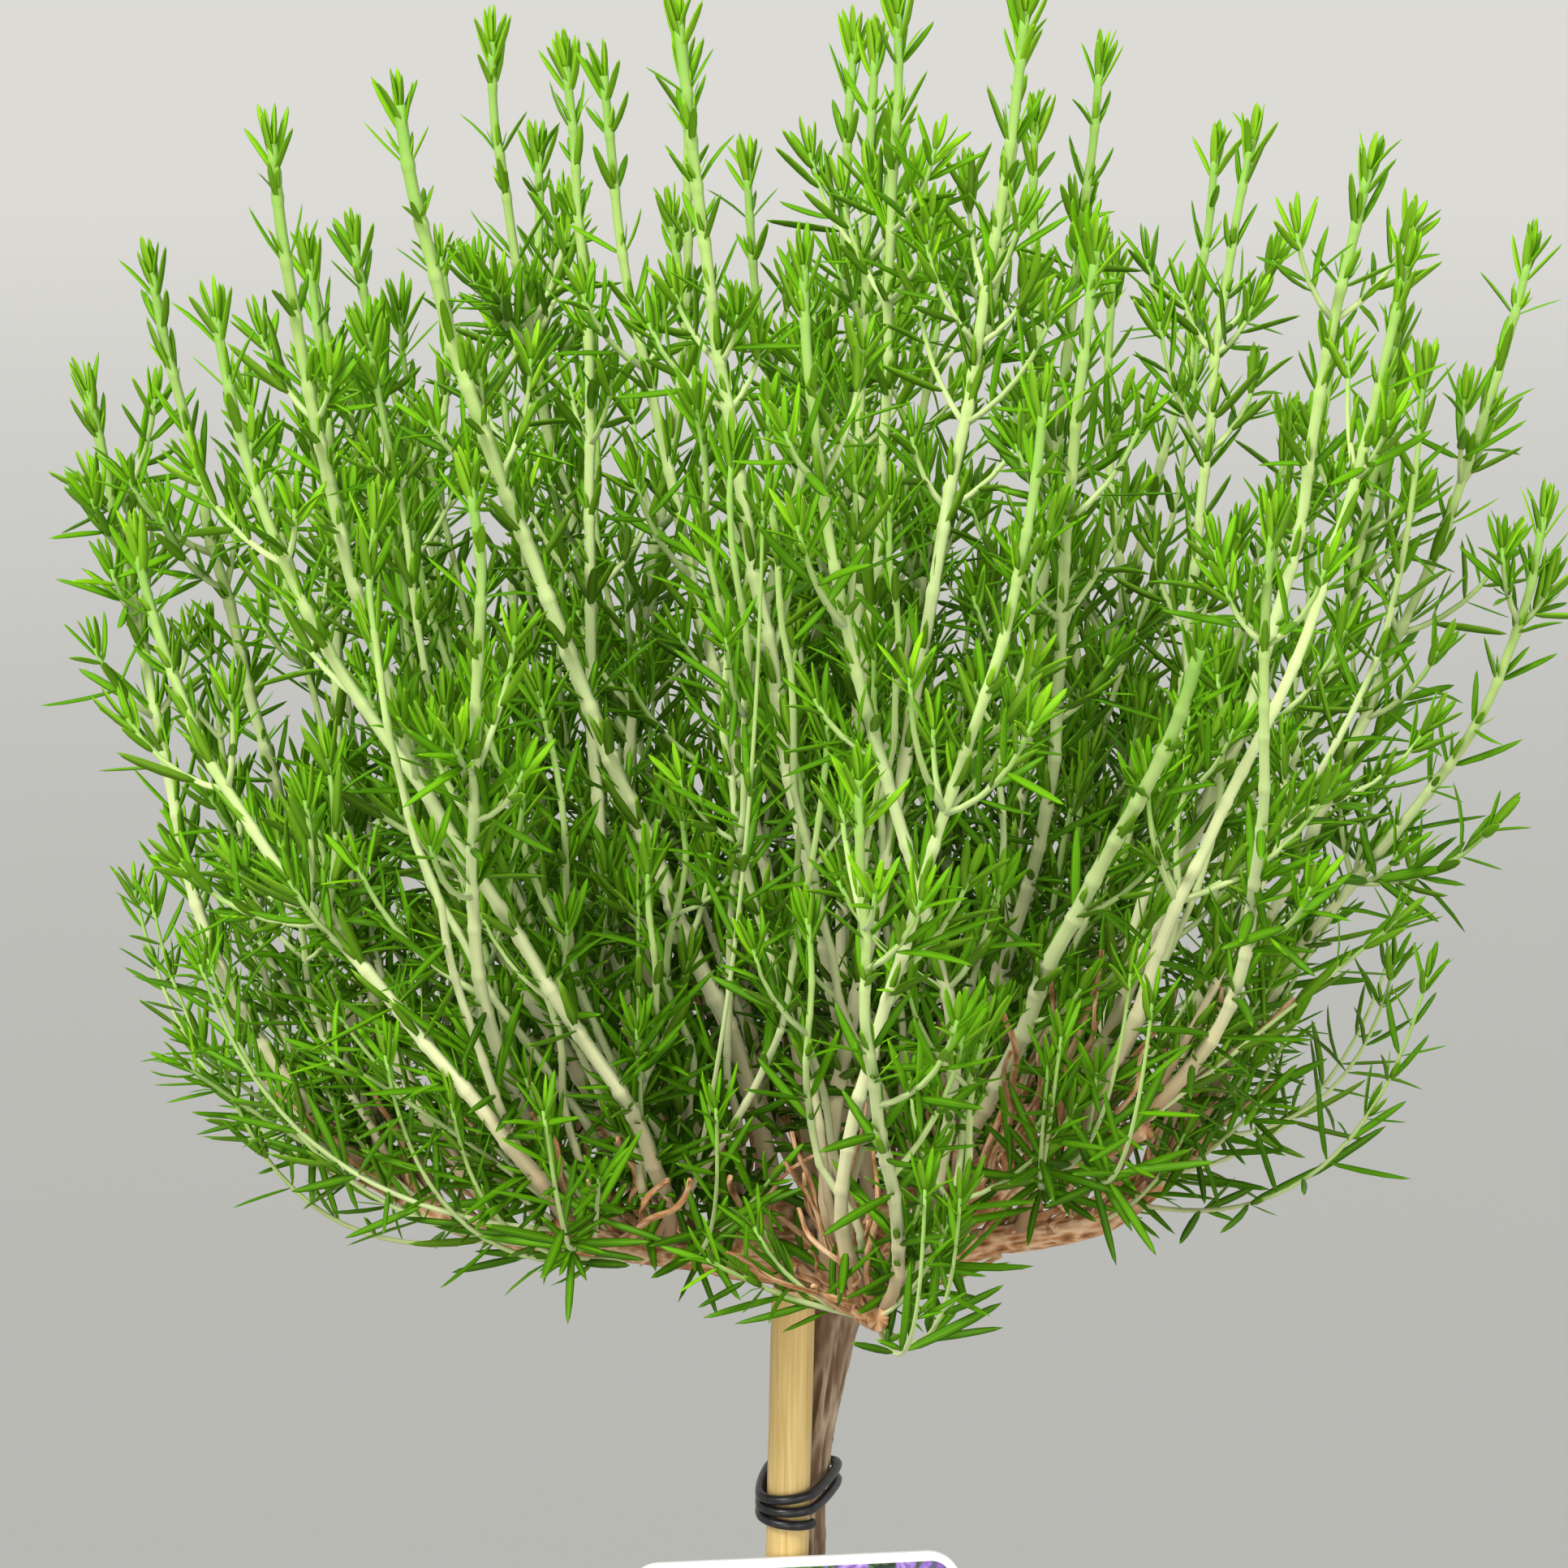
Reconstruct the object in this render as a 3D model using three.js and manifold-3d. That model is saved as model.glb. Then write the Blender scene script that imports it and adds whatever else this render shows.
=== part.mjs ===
// A rosemary grown as a small standard tree: a bushy crown of upright stems on a bare
// trunk, tied to a bamboo cane, in a plain nursery pot with a picture label.
// Millimetres, +Z up. The origin is the centre of the pot's flat underside, and the
// front, where the label hangs, faces -Y.
import * as THREE from "three";
import { mergeVertices } from "three/addons/utils/BufferGeometryUtils.js";
import Module from "manifold-3d";

// ---------- driving dimensions ----------
const pot = { height: 150, topRadius: 84, baseRadius: 60, wall: 2.4, floor: 3, rimHeight: 14, rimOut: 3.5 };
const drain = { count: 6, radius: 5, ring: 42 };
const soil = { top: 134, gap: 0.4, crown: 4 };
const crownBase = 470; // height of the knot that every branch leaves
const head = new THREE.Vector3(9.5, 11, crownBase);
const trunk = { soilRadius: 8.4, midRadius: 6.3, headRadius: 9.6, topRise: 13, lump: 0.06 };
trunk.foot = new THREE.Vector3(2, 10.5, 62);
const roots = { count: 3, reach: 40, drop: 56, baseRadius: 4.6, endRadius: 1.8 };
const cane = { length: 436, bottom: 34, radius: 5, boreRadius: 2.6, boreDepth: 14, lean: 1.3 };
cane.joint = { first: 104, pitch: 122, proud: 0.55 };
cane.axis = new THREE.Vector2(1.2, -4); // where it stands at the height of the knot
const tie = { wire: 1.15, turns: 2.75, pitch: 3.1, gap: 0.5, slope: 0.1, upper: crownBase - 52, lower: 232 };
const label = { width: 77, height: 108, thick: 0.8, corner: 7.6, top: crownBase - 63.3, tilt: 2.75 };
label.hole = { radius: 2.1, aside: 11, down: 17 };
label.cord = { wire: 0.8, apart: 1.3 };
const branches = { count: 8, reach: 98, baseRadius: 4.1, endRadius: 2.3, tierRise: 9 };
branches.lift = [12, 0, 0, 0, 0, 10, 4, 30]; // how much higher each one's end is held
const shoots = { central: 3, baseWidth: 3.4, tipWidth: 1.9, seatGap: 0.5 };
const leaf = { pairs: 10, firstShare: 0.12, lastShare: 0.965, nodeHeight: 2.6 };
leaf.length = 17;
leaf.lift = 52; // degrees from the stem's side, at the shoot's foot
leaf.clear = 0.9; // room kept to the neighbours
const crown = { rise: 295, droop: 0.0026, reach: 164 };
// The shoots of one branch, from the knot outwards: where each stands on the branch, how far it
// runs along the branch for each step up, and how far out, aside and short of the top it ends.
const stations = [
  { share: 0.2, run: 0.4, tipReach: 0.36, fan: 8, shorter: 18 },
  { share: 0.42, run: 0.7, tipReach: 0.58, fan: 8, shorter: 26 },
  { share: 0.63, run: 1, tipReach: 0.78, fan: 10, shorter: 34 },
  { share: 0.83, run: 1.3, tipReach: 0.93, fan: 12, shorter: 40 },
  { share: 0.985, run: 1.9, tipReach: 1, fan: 11, shorter: 96 },
];

// The most visible shoots are posed one by one, by the number in their name: where the tip
// ends about the knot, how far it sets off along its branch, how long it holds its first
// direction, how far out its tip leans for each step up, and how thick it is.
const posed = {
  4: { azimuth: 356, radius: 152, rise: 235 },
  5: { azimuth: 345, radius: 160, rise: 182 },
  17: { azimuth: 155, radius: 85, rise: 279 },
  22: { azimuth: 177, radius: 106, rise: 236 },
  25: { azimuth: 180, radius: 164, rise: 204 },
  26: { azimuth: 219, radius: 113, rise: 272, hold: 0.2, girth: 1.3 },
  27: { azimuth: 211, radius: 137, rise: 264, girth: 1.15 },
  28: { azimuth: 220, radius: 162, rise: 232 },
  30: { azimuth: 206, radius: 163, rise: 180 },
  31: { azimuth: 238, radius: 60, rise: 288, hold: 0.1, girth: 1.2 },
  32: { azimuth: 322, radius: 50, rise: 289, hold: 0.15, girth: 1.15 },
  35: { azimuth: 271, radius: 161, rise: 149, hold: 0.15, girth: 0.95 },
  36: { azimuth: 312, radius: 82, rise: 241, girth: 1.15 },
  37: { azimuth: 305, radius: 129, rise: 165, hold: 0.15, lean: 0.45, girth: 1.45 },
  38: { azimuth: 331, radius: 127, rise: 258, girth: 1.15 },
  39: { azimuth: 325, radius: 142, rise: 240 },
  42: { azimuth: 188, radius: 50, rise: 274 },
  43: { azimuth: 310, radius: 25, rise: 288 },
};

const colours = {
  plantPot: [0x9a5638, 0.62],
  compost: [0x3a2a1f, 0.96],
  bamboo: [0xd8b35e, 0.42],
  bark: [0x7a5a44, 0.9],
  wood: [0xa06a42, 0.82],
  leafy: [0x4f9a22, 0.55],
  cord: [0x17171a, 0.5],
  card: [0xf4f4f2, 0.35],
};

// ---------- small tools ----------
const wasm = await Module();
wasm.setup();
const up = new THREE.Vector3(0, 0, 1);
const radians = THREE.MathUtils.degToRad;
const lerp = THREE.MathUtils.lerp;

// A repeatable scatter between 0 and 1: the same number for the same pair.
function scatter(i, k) {
  const s = Math.sin(i * 12.9898 + k * 78.233) * 43758.5453;
  return s - Math.floor(s);
}
const spread = (i, k) => 2 * scatter(i, k) - 1;

// A point at a distance and azimuth (degrees from +X) about the crown's knot.
function around(azimuth, radius, rise) {
  const a = radians(azimuth);
  return new THREE.Vector3(head.x + radius * Math.cos(a), head.y + radius * Math.sin(a), crownBase + rise);
}

function solidOf(geometry) {
  const bare = new THREE.BufferGeometry().setAttribute("position", geometry.getAttribute("position"));
  if (geometry.index) bare.setIndex(geometry.index);
  const merged = mergeVertices(bare, 1e-4);
  return new wasm.Manifold(
    new wasm.Mesh({
      numProp: 3,
      vertProperties: new Float32Array(merged.attributes.position.array),
      triVerts: new Uint32Array(merged.index.array),
    }),
  );
}

function geometryOf(solid) {
  const mesh = solid.getMesh();
  return new THREE.BufferGeometry()
    .setAttribute("position", new THREE.BufferAttribute(new Float32Array(mesh.vertProperties), 3))
    .setIndex(new THREE.BufferAttribute(new Uint32Array(mesh.triVerts), 1));
}

const plant = new THREE.Group();
function place(name, geometry, [colour, roughness], parent = plant) {
  const material = new THREE.MeshStandardMaterial({ color: colour, roughness, metalness: 0 });
  const mesh = new THREE.Mesh(geometry, material);
  mesh.name = name;
  parent.add(mesh);
  return mesh;
}

// Frames along a curve that turn as little as they can, one at each share of its length.
function framesAlong(curve, shares, firstSide) {
  let side = firstSide.clone();
  return shares.map((share) => {
    const along = curve.getTangentAt(share).normalize();
    side = side.clone().addScaledVector(along, -side.dot(along)).normalize();
    return { at: curve.getPointAt(share), along, side, cross: new THREE.Vector3().crossVectors(along, side) };
  });
}

// The point at a radius and an angle from a frame's own point.
function besides({ at, side, cross }, angle, radius) {
  const point = at.clone().addScaledVector(side, radius * Math.cos(angle));
  return point.addScaledVector(cross, radius * Math.sin(angle));
}

// A closed skin through rings of the same number of points, with a point at each end.
function skinOf(rings, first, last) {
  const sides = rings[0].length;
  const points = [first, ...rings.flat(), last];
  const end = points.length - 1;
  const index = [];
  for (let s = 0; s < sides; s++) {
    const next = (s + 1) % sides;
    index.push(0, 1 + next, 1 + s);
    index.push(end, end - sides + s, end - sides + next);
  }
  for (let r = 0; r + 1 < rings.length; r++) {
    for (let s = 0; s < sides; s++) {
      const a = 1 + r * sides + s;
      const b = 1 + r * sides + ((s + 1) % sides);
      index.push(a, b, b + sides, a, b + sides, a + sides);
    }
  }
  return new THREE.BufferGeometry().setFromPoints(points).setIndex(index);
}

// A round limb along a curve. radiusAt gives its radius from its share and its angle, and
// longer is how far each end is carried on past the curve's own.
function limb(curve, radiusAt, sides, steps, longer = 0) {
  const shares = Array.from({ length: steps + 1 }, (_, i) => i / steps);
  const frames = framesAlong(curve, shares, new THREE.Vector3(0.2, -0.7, 0.7));
  frames[0].at.addScaledVector(frames[0].along, -longer);
  frames[steps].at.addScaledVector(frames[steps].along, longer);
  const rings = frames.map((f, i) =>
    Array.from({ length: sides }, (_, s) => {
      const angle = (2 * Math.PI * s) / sides;
      const r = radiusAt(shares[i], angle);
      return besides(f, angle, r);
    }),
  );
  return skinOf(rings, frames[0].at, frames[steps].at);
}

// ---------- pot and compost ----------
function potRadius(z) {
  return lerp(pot.baseRadius, pot.topRadius, z / pot.height);
}

function makePot() {
  const rimFoot = pot.height - pot.rimHeight;
  const lip = pot.topRadius + pot.rimOut;
  const profile = [
    [0, 0],
    [pot.baseRadius - 2, 0],
    [potRadius(2), 2],
    [potRadius(rimFoot), rimFoot],
    [lip - 0.8, rimFoot],
    [lip, rimFoot + 2],
    [lip, pot.height - 1.5],
    [lip - 1.5, pot.height],
    [potRadius(pot.height) - pot.wall + 1, pot.height],
    [potRadius(pot.height) - pot.wall, pot.height - 2],
    [potRadius(pot.floor) - pot.wall, pot.floor],
    [0, pot.floor],
  ].map(([r, z]) => new THREE.Vector2(r, z));
  let shell = solidOf(new THREE.LatheGeometry(profile, 40).rotateX(Math.PI / 2));
  for (let i = 0; i < drain.count; i++) {
    const angle = (2 * Math.PI * i) / drain.count;
    const hole = new THREE.CylinderGeometry(drain.radius, drain.radius, 4 * pot.floor, 10);
    hole.rotateX(Math.PI / 2).translate(drain.ring * Math.cos(angle), drain.ring * Math.sin(angle), 0);
    shell = shell.subtract(solidOf(hole));
  }
  place("pot", geometryOf(shell), colours.plantPot);
}

function makeCompost(buried) {
  const inside = (z) => potRadius(z) - pot.wall - soil.gap;
  const bottom = pot.floor + soil.gap;
  const profile = [
    [0, bottom],
    [inside(bottom), bottom],
    [inside(soil.top - soil.crown), soil.top - soil.crown],
    [inside(soil.top) - 14, soil.top - 1],
    [34, soil.top],
    [0, soil.top],
  ].map(([r, z]) => new THREE.Vector2(r, z));
  let body = solidOf(new THREE.LatheGeometry(profile, 32).rotateX(Math.PI / 2));
  for (const piece of buried) body = body.subtract(solidOf(piece));
  place("potting_compost", geometryOf(body), colours.compost);
}

// ---------- trunk ----------
const trunkCurve = new THREE.CatmullRomCurve3([
  trunk.foot,
  new THREE.Vector3(2, 10.5, soil.top),
  new THREE.Vector3(-1.5, 10.4, soil.top + 80),
  new THREE.Vector3(-0.8, 11.2, soil.top + 180),
  new THREE.Vector3(3.4, 10.4, tie.upper),
  new THREE.Vector3(8, 10.6, crownBase - 18),
  new THREE.Vector3(head.x, head.y, crownBase + trunk.topRise),
]);

function trunkGirth(share) {
  const z = trunkCurve.getPointAt(share).z;
  const flare = (trunk.soilRadius - trunk.midRadius) * Math.exp(-Math.abs(z - soil.top) / 26);
  const knot = (trunk.headRadius - trunk.midRadius) * Math.exp(-(((z - crownBase) / 13) ** 2));
  return trunk.midRadius + flare + knot;
}

// A buried root's line, from inside the trunk's foot outwards and down.
function rootCurve(i) {
  const out = new THREE.Vector3(1, 0, 0).applyAxisAngle(up, radians(110 * i - 40 + 12 * spread(i, 91)));
  const from = trunk.foot.clone().setZ(soil.top - 22 - 6 * i);
  const knee = from.clone().addScaledVector(out, 0.6 * roots.reach).addScaledVector(up, -0.2 * roots.drop);
  const end = from.clone().addScaledVector(out, roots.reach + 3 * i).addScaledVector(up, -roots.drop);
  return new THREE.CatmullRomCurve3([from, knee, end]);
}

// The trunk and its roots as one solid, with its skin moved out by a margin all round.
function trunkSolid(margin) {
  const barkRadius = (share, angle) => {
    const ridges = Math.sin(3 * angle + 31 * share) + 0.6 * Math.sin(5 * angle - 44 * share);
    return trunkGirth(share) * (1 + trunk.lump * ridges) + margin;
  };
  const rootRadius = (share) => lerp(roots.baseRadius, roots.endRadius, share) + margin;
  let body = solidOf(limb(trunkCurve, barkRadius, 10, 20, margin));
  for (let i = 0; i < roots.count; i++) {
    body = body.add(solidOf(limb(rootCurve(i), rootRadius, 6, 5, margin)));
  }
  return geometryOf(body);
}

// ---------- bamboo cane ----------
// The cane's axis at a height: it leans a little towards +X as it rises.
function caneAt(z) {
  return new THREE.Vector3(cane.axis.x + (z - crownBase) * Math.tan(radians(cane.lean)), cane.axis.y, z);
}

// Each joint is a low ridge with a shallow groove above it, and the cut top shows the hollow.
function caneProfile() {
  const r = cane.radius;
  const outer = [[0, 0], [r - 0.5, 0], [r, 0.8]];
  for (let z = cane.joint.first; z < cane.length - 40; z += cane.joint.pitch) {
    outer.push([r, z - 3], [r + cane.joint.proud, z - 0.7], [r - 0.25, z + 0.6], [r, z + 3]);
  }
  const boreFoot = cane.length - cane.boreDepth;
  const cut = [[r, cane.length], [cane.boreRadius, cane.length]];
  const hollow = [[cane.boreRadius, boreFoot], [0, boreFoot]];
  return [...outer, ...cut, ...hollow].map(([radius, z]) => new THREE.Vector2(radius, z));
}

// Stands the cane in the compost, and returns the shape of the hole that it fills.
function makeCane() {
  const stake = new THREE.Group();
  stake.position.copy(caneAt(cane.bottom));
  stake.rotation.y = radians(cane.lean);
  plant.add(stake);
  const stem = new THREE.LatheGeometry(caneProfile(), 16).rotateX(Math.PI / 2);
  place("bamboo_cane", stem, colours.bamboo, stake);
  const holeRadius = cane.radius + cane.joint.proud + soil.gap;
  const hole = new THREE.CylinderGeometry(holeRadius, holeRadius, cane.length, 16);
  hole.rotateX(Math.PI / 2).translate(0, 0, cane.length / 2 - soil.gap);
  stake.updateMatrixWorld(true);
  return hole.applyMatrix4(stake.matrixWorld);
}

// ---------- ties ----------
// The trunk's axis and girth at a height, found by halving.
function trunkAt(z) {
  let low = 0;
  let high = 1;
  for (let i = 0; i < 30; i++) {
    const middle = (low + high) / 2;
    if (trunkCurve.getPointAt(middle).z < z) low = middle;
    else high = middle;
  }
  return { at: trunkCurve.getPointAt(low).setZ(z), radius: trunkGirth(low) * (1 + 1.6 * trunk.lump) };
}

// A cord's point round a bundle of bars: it lies on the bar that stands out furthest that way.
function wrapPoint(bars, angle, offset) {
  const out = new THREE.Vector3(Math.cos(angle), Math.sin(angle), 0);
  const bar = bars.reduce((a, b) => (b.at.dot(out) + b.radius > a.at.dot(out) + a.radius ? b : a));
  return bar.at.clone().addScaledVector(out, bar.radius + offset);
}

// Turns of cord round the cane and the trunk that climb one pitch a turn and end in a short tail.
function makeTie(name, z, start) {
  const bars = [{ at: caneAt(z), radius: cane.radius + 0.25 }, trunkAt(z)];
  const perTurn = 12;
  const count = Math.round(tie.turns * perTurn);
  const points = Array.from({ length: count + 1 }, (_, i) => {
    const point = wrapPoint(bars, radians(start) - (2 * Math.PI * i) / perTurn, tie.wire + tie.gap);
    const climb = tie.pitch * (i / perTurn - tie.turns / 2);
    return point.setZ(z + climb + tie.slope * point.x);
  });
  const away = points[count].clone().sub(points[count - 1]).setLength(4);
  points.push(points[count].clone().add(away).add(new THREE.Vector3(0.6, 0, 1.2)));
  const path = new THREE.CatmullRomCurve3(points);
  place(name, limb(path, () => tie.wire, 6, Math.round(count * 1.2)), colours.cord);
}

// ---------- label ----------
function labelOutline() {
  const w = label.width / 2;
  const h = label.height / 2;
  const c = label.corner;
  const quarter = Math.PI / 2;
  const outline = new THREE.Shape()
    .absarc(w - c, -h + c, c, -quarter, 0)
    .absarc(w - c, h - c, c, 0, quarter)
    .absarc(-w + c, h - c, c, quarter, 2 * quarter)
    .absarc(-w + c, -h + c, c, 2 * quarter, 3 * quarter);
  for (const x of [-label.hole.aside, label.hole.aside]) {
    const hole = new THREE.Path().absarc(x, h - label.hole.down, label.hole.radius, 0, 4 * quarter, true);
    outline.holes.push(hole);
  }
  return outline;
}

// The label hangs in front of the cane and is turned a little in its own plane.
function makeLabel() {
  const settings = { depth: label.thick, bevelEnabled: false, curveSegments: 4 };
  const hung = new THREE.Group();
  hung.position.copy(caneAt(label.top - label.height / 2));
  hung.position.add(new THREE.Vector3(5, -cane.radius - 1, 0));
  hung.rotation.y = radians(-label.tilt);
  plant.add(hung);
  const card = new THREE.ExtrudeGeometry(labelOutline(), settings).rotateX(Math.PI / 2);
  place("picture_label", card, colours.card, hung);
  hung.updateMatrixWorld(true);
  makeLabelCord(hung.matrixWorld);
}

// The label's cord: its ends cross behind the cane, and it comes forward on both sides, turns
// round the inner edge of each hole and lies across the label's face.
function makeLabelCord(labelPlace) {
  const { wire, apart } = label.cord;
  const holeHeight = label.height / 2 - label.hole.down;
  const turn = wire + label.thick / 2 + tie.gap;
  const edge = label.hole.aside - label.hole.radius;
  const throughHole = (side) =>
    [90, 45, 0, -45, -90].map((degrees) => {
      const x = side * (edge + turn * Math.cos(radians(degrees)));
      const y = turn * Math.sin(radians(degrees)) - label.thick / 2;
      return new THREE.Vector3(x, y, holeHeight).applyMatrix4(labelPlace);
    });
  const left = throughHole(-1);
  const right = throughHole(1).reverse();
  const bar = { at: caneAt(left[0].z), radius: cane.radius + 0.25 };
  const behind = (degrees, rise) => {
    const point = wrapPoint([bar], radians(degrees), wire + tie.gap);
    return point.setZ(bar.at.z + rise);
  };
  const coming = [[40, apart], [75, apart], [115, apart], [155, 0.7 * apart], [185, 0]];
  const going = [[-5, 0], [25, -0.7 * apart], [65, -apart], [105, -apart], [140, -apart]];
  const path = new THREE.CatmullRomCurve3([
    ...coming.map(([degrees, rise]) => behind(degrees, rise)),
    ...left,
    ...right,
    ...going.map(([degrees, rise]) => behind(degrees, rise)),
  ]);
  place("label_cord", limb(path, () => wire, 6, 40), colours.cord);
}

// ---------- branches ----------
// A branch leaves the knot near level and rises outwards. Odd ones leave a tier higher.
function branchCurve(k) {
  const azimuth = branchAzimuth(k);
  const reach = branches.reach + 12 * spread(k, 2);
  const rise = (k % 2) * branches.tierRise;
  const lift = branches.lift[k];
  const bend = 7 * spread(k, 3);
  const start = trunk.headRadius * (1 + 1.6 * trunk.lump) + 0.6;
  return new THREE.CatmullRomCurve3([
    around(azimuth, start, rise - 1),
    around(azimuth + bend * 0.4, lerp(start, reach, 0.35), rise + 3 + 0.3 * lift + 2 * scatter(k, 4)),
    around(azimuth + bend, lerp(start, reach, 0.7), rise + 6 + 0.65 * lift + 5 * scatter(k, 5)),
    around(azimuth + bend * 0.5, reach, rise + 14 + lift + 8 * scatter(k, 6)),
  ]);
}

function branchAzimuth(k) {
  return (360 / branches.count) * k + 8 * spread(k, 1);
}

const branchRadius = (share) => lerp(branches.baseRadius, branches.endRadius, share ** 0.8);

function makeBranch(k) {
  const knobbly = (share, angle) => branchRadius(share) * (1 + 0.07 * Math.sin(2 * angle + 19 * share + k));
  place(`branch_${k + 1}`, limb(branchCurve(k), knobbly, 6, 9), colours.wood);
}

// ---------- shoots ----------
// Where a shoot stands, the way it sets off, and where its tip ends. The last few stand on the knot.
function shootPlan(n) {
  const own = posed[n + 1] ?? {};
  const onKnot = n - branches.count * stations.length;
  if (onKnot >= 0) {
    const azimuth = 120 * onKnot + 70;
    const base = around(azimuth, 4.2, trunk.topRise + 2 * shoots.seatGap);
    const radius = own.radius ?? 22 + 6 * scatter(n, 10);
    const rise = own.rise ?? crown.rise - 10 - 16 * scatter(n, 11);
    return { base, seat: up, out: up, tip: around(own.azimuth ?? azimuth, radius, rise) };
  }
  const k = Math.floor(n / stations.length);
  const station = stations[n % stations.length];
  const wood = branchCurve(k);
  const along = wood.getTangentAt(station.share).normalize();
  const turn = n % stations.length % 2 ? -1 : 1;
  const side = new THREE.Vector3().crossVectors(along, up).normalize();
  const seat = new THREE.Vector3().crossVectors(side, along).applyAxisAngle(along, -turn * radians(34));
  const radius = own.radius ?? crown.reach * station.tipReach + 5 * spread(n, 12);
  const azimuth = own.azimuth ?? branchAzimuth(k) - turn * station.fan - 2.5 * spread(n, 13);
  const dome = crown.rise - crown.droop * radius * radius;
  const rise = own.rise ?? dome - station.shorter * scatter(n, 14);
  const standOff = 1.08 * branchRadius(station.share) + shoots.seatGap;
  return {
    base: wood.getPointAt(station.share).addScaledVector(seat, standOff),
    seat,
    out: seat.clone().addScaledVector(along, own.run ?? station.run).normalize(),
    tip: around(azimuth, radius, rise),
  };
}

const shootGirth = (n) => posed[n + 1]?.girth ?? 1;

// A shoot leaves its branch outwards and then turns up, leaning out a little at its tip.
function shootCurve(n) {
  const { base, out, tip } = shootPlan(n);
  const reach = Math.hypot(tip.x - head.x, tip.y - head.y);
  const length = base.distanceTo(tip);
  const lean = new THREE.Vector3((tip.x - head.x) / reach, (tip.y - head.y) / reach, 0);
  const leaning = posed[n + 1]?.lean ?? 0.02 + 0.16 * (reach / crown.reach);
  const hold = posed[n + 1]?.hold ?? 0.36;
  const last = up.clone().addScaledVector(lean, leaning).normalize();
  return new THREE.CubicBezierCurve3(
    base,
    base.clone().addScaledVector(out, hold * length),
    tip.clone().addScaledVector(last, -0.42 * length),
    tip,
  );
}

// Everything solid so far as short thick lines, so that a new leaf can be kept off its neighbours.
const filled = [];
function fill(curve, radius, owner, steps) {
  for (let i = 0; i < steps; i++) {
    const line = new THREE.Line3(curve.getPointAt(i / steps), curve.getPointAt((i + 1) / steps));
    filled.push({ line, radius, owner });
  }
}
function isClear(line, radius, owner) {
  return filled.every(
    (f) => f.owner === owner || line.distanceSqToLine3(f.line) > (f.radius + radius + leaf.clear) ** 2,
  );
}

// A square stem with a pair of needle leaves at each node, on opposite faces and turned a
// quarter turn from one node to the next. Each leaf is drawn out of its own face of the stem.
function makeShoot(n) {
  const { base, seat } = shootPlan(n);
  const curve = shootCurve(n);
  const length = curve.getLength();
  const name = `shoot_${n + 1}`;
  const half = leaf.nodeHeight / 2 / length;
  const nodeShares = Array.from({ length: leaf.pairs }, (_, i) => {
    return lerp(leaf.firstShare, leaf.lastShare, (i / (leaf.pairs - 1)) ** 0.88);
  });
  const shares = [0, ...nodeShares.flatMap((s) => [s - half, s + half])];
  const frames = framesAlong(curve, shares, new THREE.Vector3(1, 0.3, 0.2).normalize());
  const widthAt = (share) => lerp(shoots.baseWidth, shoots.tipWidth, share) * shootGirth(n);
  const points = frames.flatMap((f, i) =>
    [0, 1, 2, 3].map((corner) => {
      const angle = (Math.PI / 2) * corner + Math.PI / 4;
      const reach = widthAt(shares[i]) * Math.SQRT1_2;
      return besides(f, angle, reach);
    }),
  );
  // The foot is cut flat along the bark that it stands on.
  const slant = frames[0].along.dot(seat);
  for (const point of points.slice(0, 4)) {
    point.addScaledVector(frames[0].along, -point.clone().sub(base).dot(seat) / slant);
  }
  const index = [0, 2, 1, 0, 3, 2];
  for (let r = 0; r + 1 < frames.length; r++) {
    for (let corner = 0; corner < 4; corner++) {
      const a = 4 * r + corner;
      const b = 4 * r + ((corner + 1) % 4);
      const node = (r - 1) / 2;
      const bearsLeaf = r % 2 === 1 && corner % 2 === node % 2;
      const apex = bearsLeaf && leafTip(frames[r + 1], corner, shares[r], n);
      if (apex) {
        const t = points.push(apex) - 1;
        index.push(a, b, t, b, b + 4, t, b + 4, a + 4, t, a + 4, a, t);
      } else {
        index.push(a, b, b + 4, a, b + 4, a + 4);
      }
    }
  }
  const bud = points.push(curve.getPointAt(1)) - 1;
  const last = 4 * (frames.length - 1);
  for (let corner = 0; corner < 4; corner++) index.push(last + corner, last + ((corner + 1) % 4), bud);
  place(name, new THREE.BufferGeometry().setFromPoints(points).setIndex(index), colours.leafy);
}

// A leaf's tip: as long as there is room for, closer to the stem near the shoot's top.
function leafTip(frame, corner, share, owner) {
  const angle = (Math.PI / 2) * (corner + 1);
  const out = besides(frame, angle, 1).sub(frame.at);
  const lift = radians(leaf.lift + 22 * share * share);
  const way = out.multiplyScalar(Math.cos(lift)).addScaledVector(frame.along, Math.sin(lift));
  const full = leaf.length * lerp(1.1, 0.72, share) * (0.85 + 0.3 * scatter(owner, corner + 10 * share));
  for (const part of [1, 0.75, 0.5]) {
    const line = new THREE.Line3(frame.at.clone(), frame.at.clone().addScaledVector(way, full * part));
    if (isClear(line, 1, owner)) {
      filled.push({ line, radius: 0.8, owner });
      return line.end;
    }
  }
  return null;
}

// ---------- assembly ----------
makePot();
place("trunk", trunkSolid(0), colours.bark);
makeCompost([trunkSolid(soil.gap), makeCane()]);
makeTie("upper_tie", tie.upper, -20);
makeTie("lower_tie", tie.lower, 160);
makeLabel();

fill(trunkCurve, trunk.headRadius, "trunk", 12);
fill(new THREE.LineCurve3(caneAt(cane.bottom), caneAt(cane.bottom + cane.length)), cane.radius, "cane", 1);
for (let k = 0; k < branches.count; k++) {
  fill(branchCurve(k), branches.baseRadius, "branch", 10);
  makeBranch(k);
}
const shootCount = branches.count * stations.length + shoots.central;
for (let n = 0; n < shootCount; n++) fill(shootCurve(n), 1.7 * shootGirth(n), n, 16);
for (let n = 0; n < shootCount; n++) makeShoot(n);

export default plant;
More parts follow.
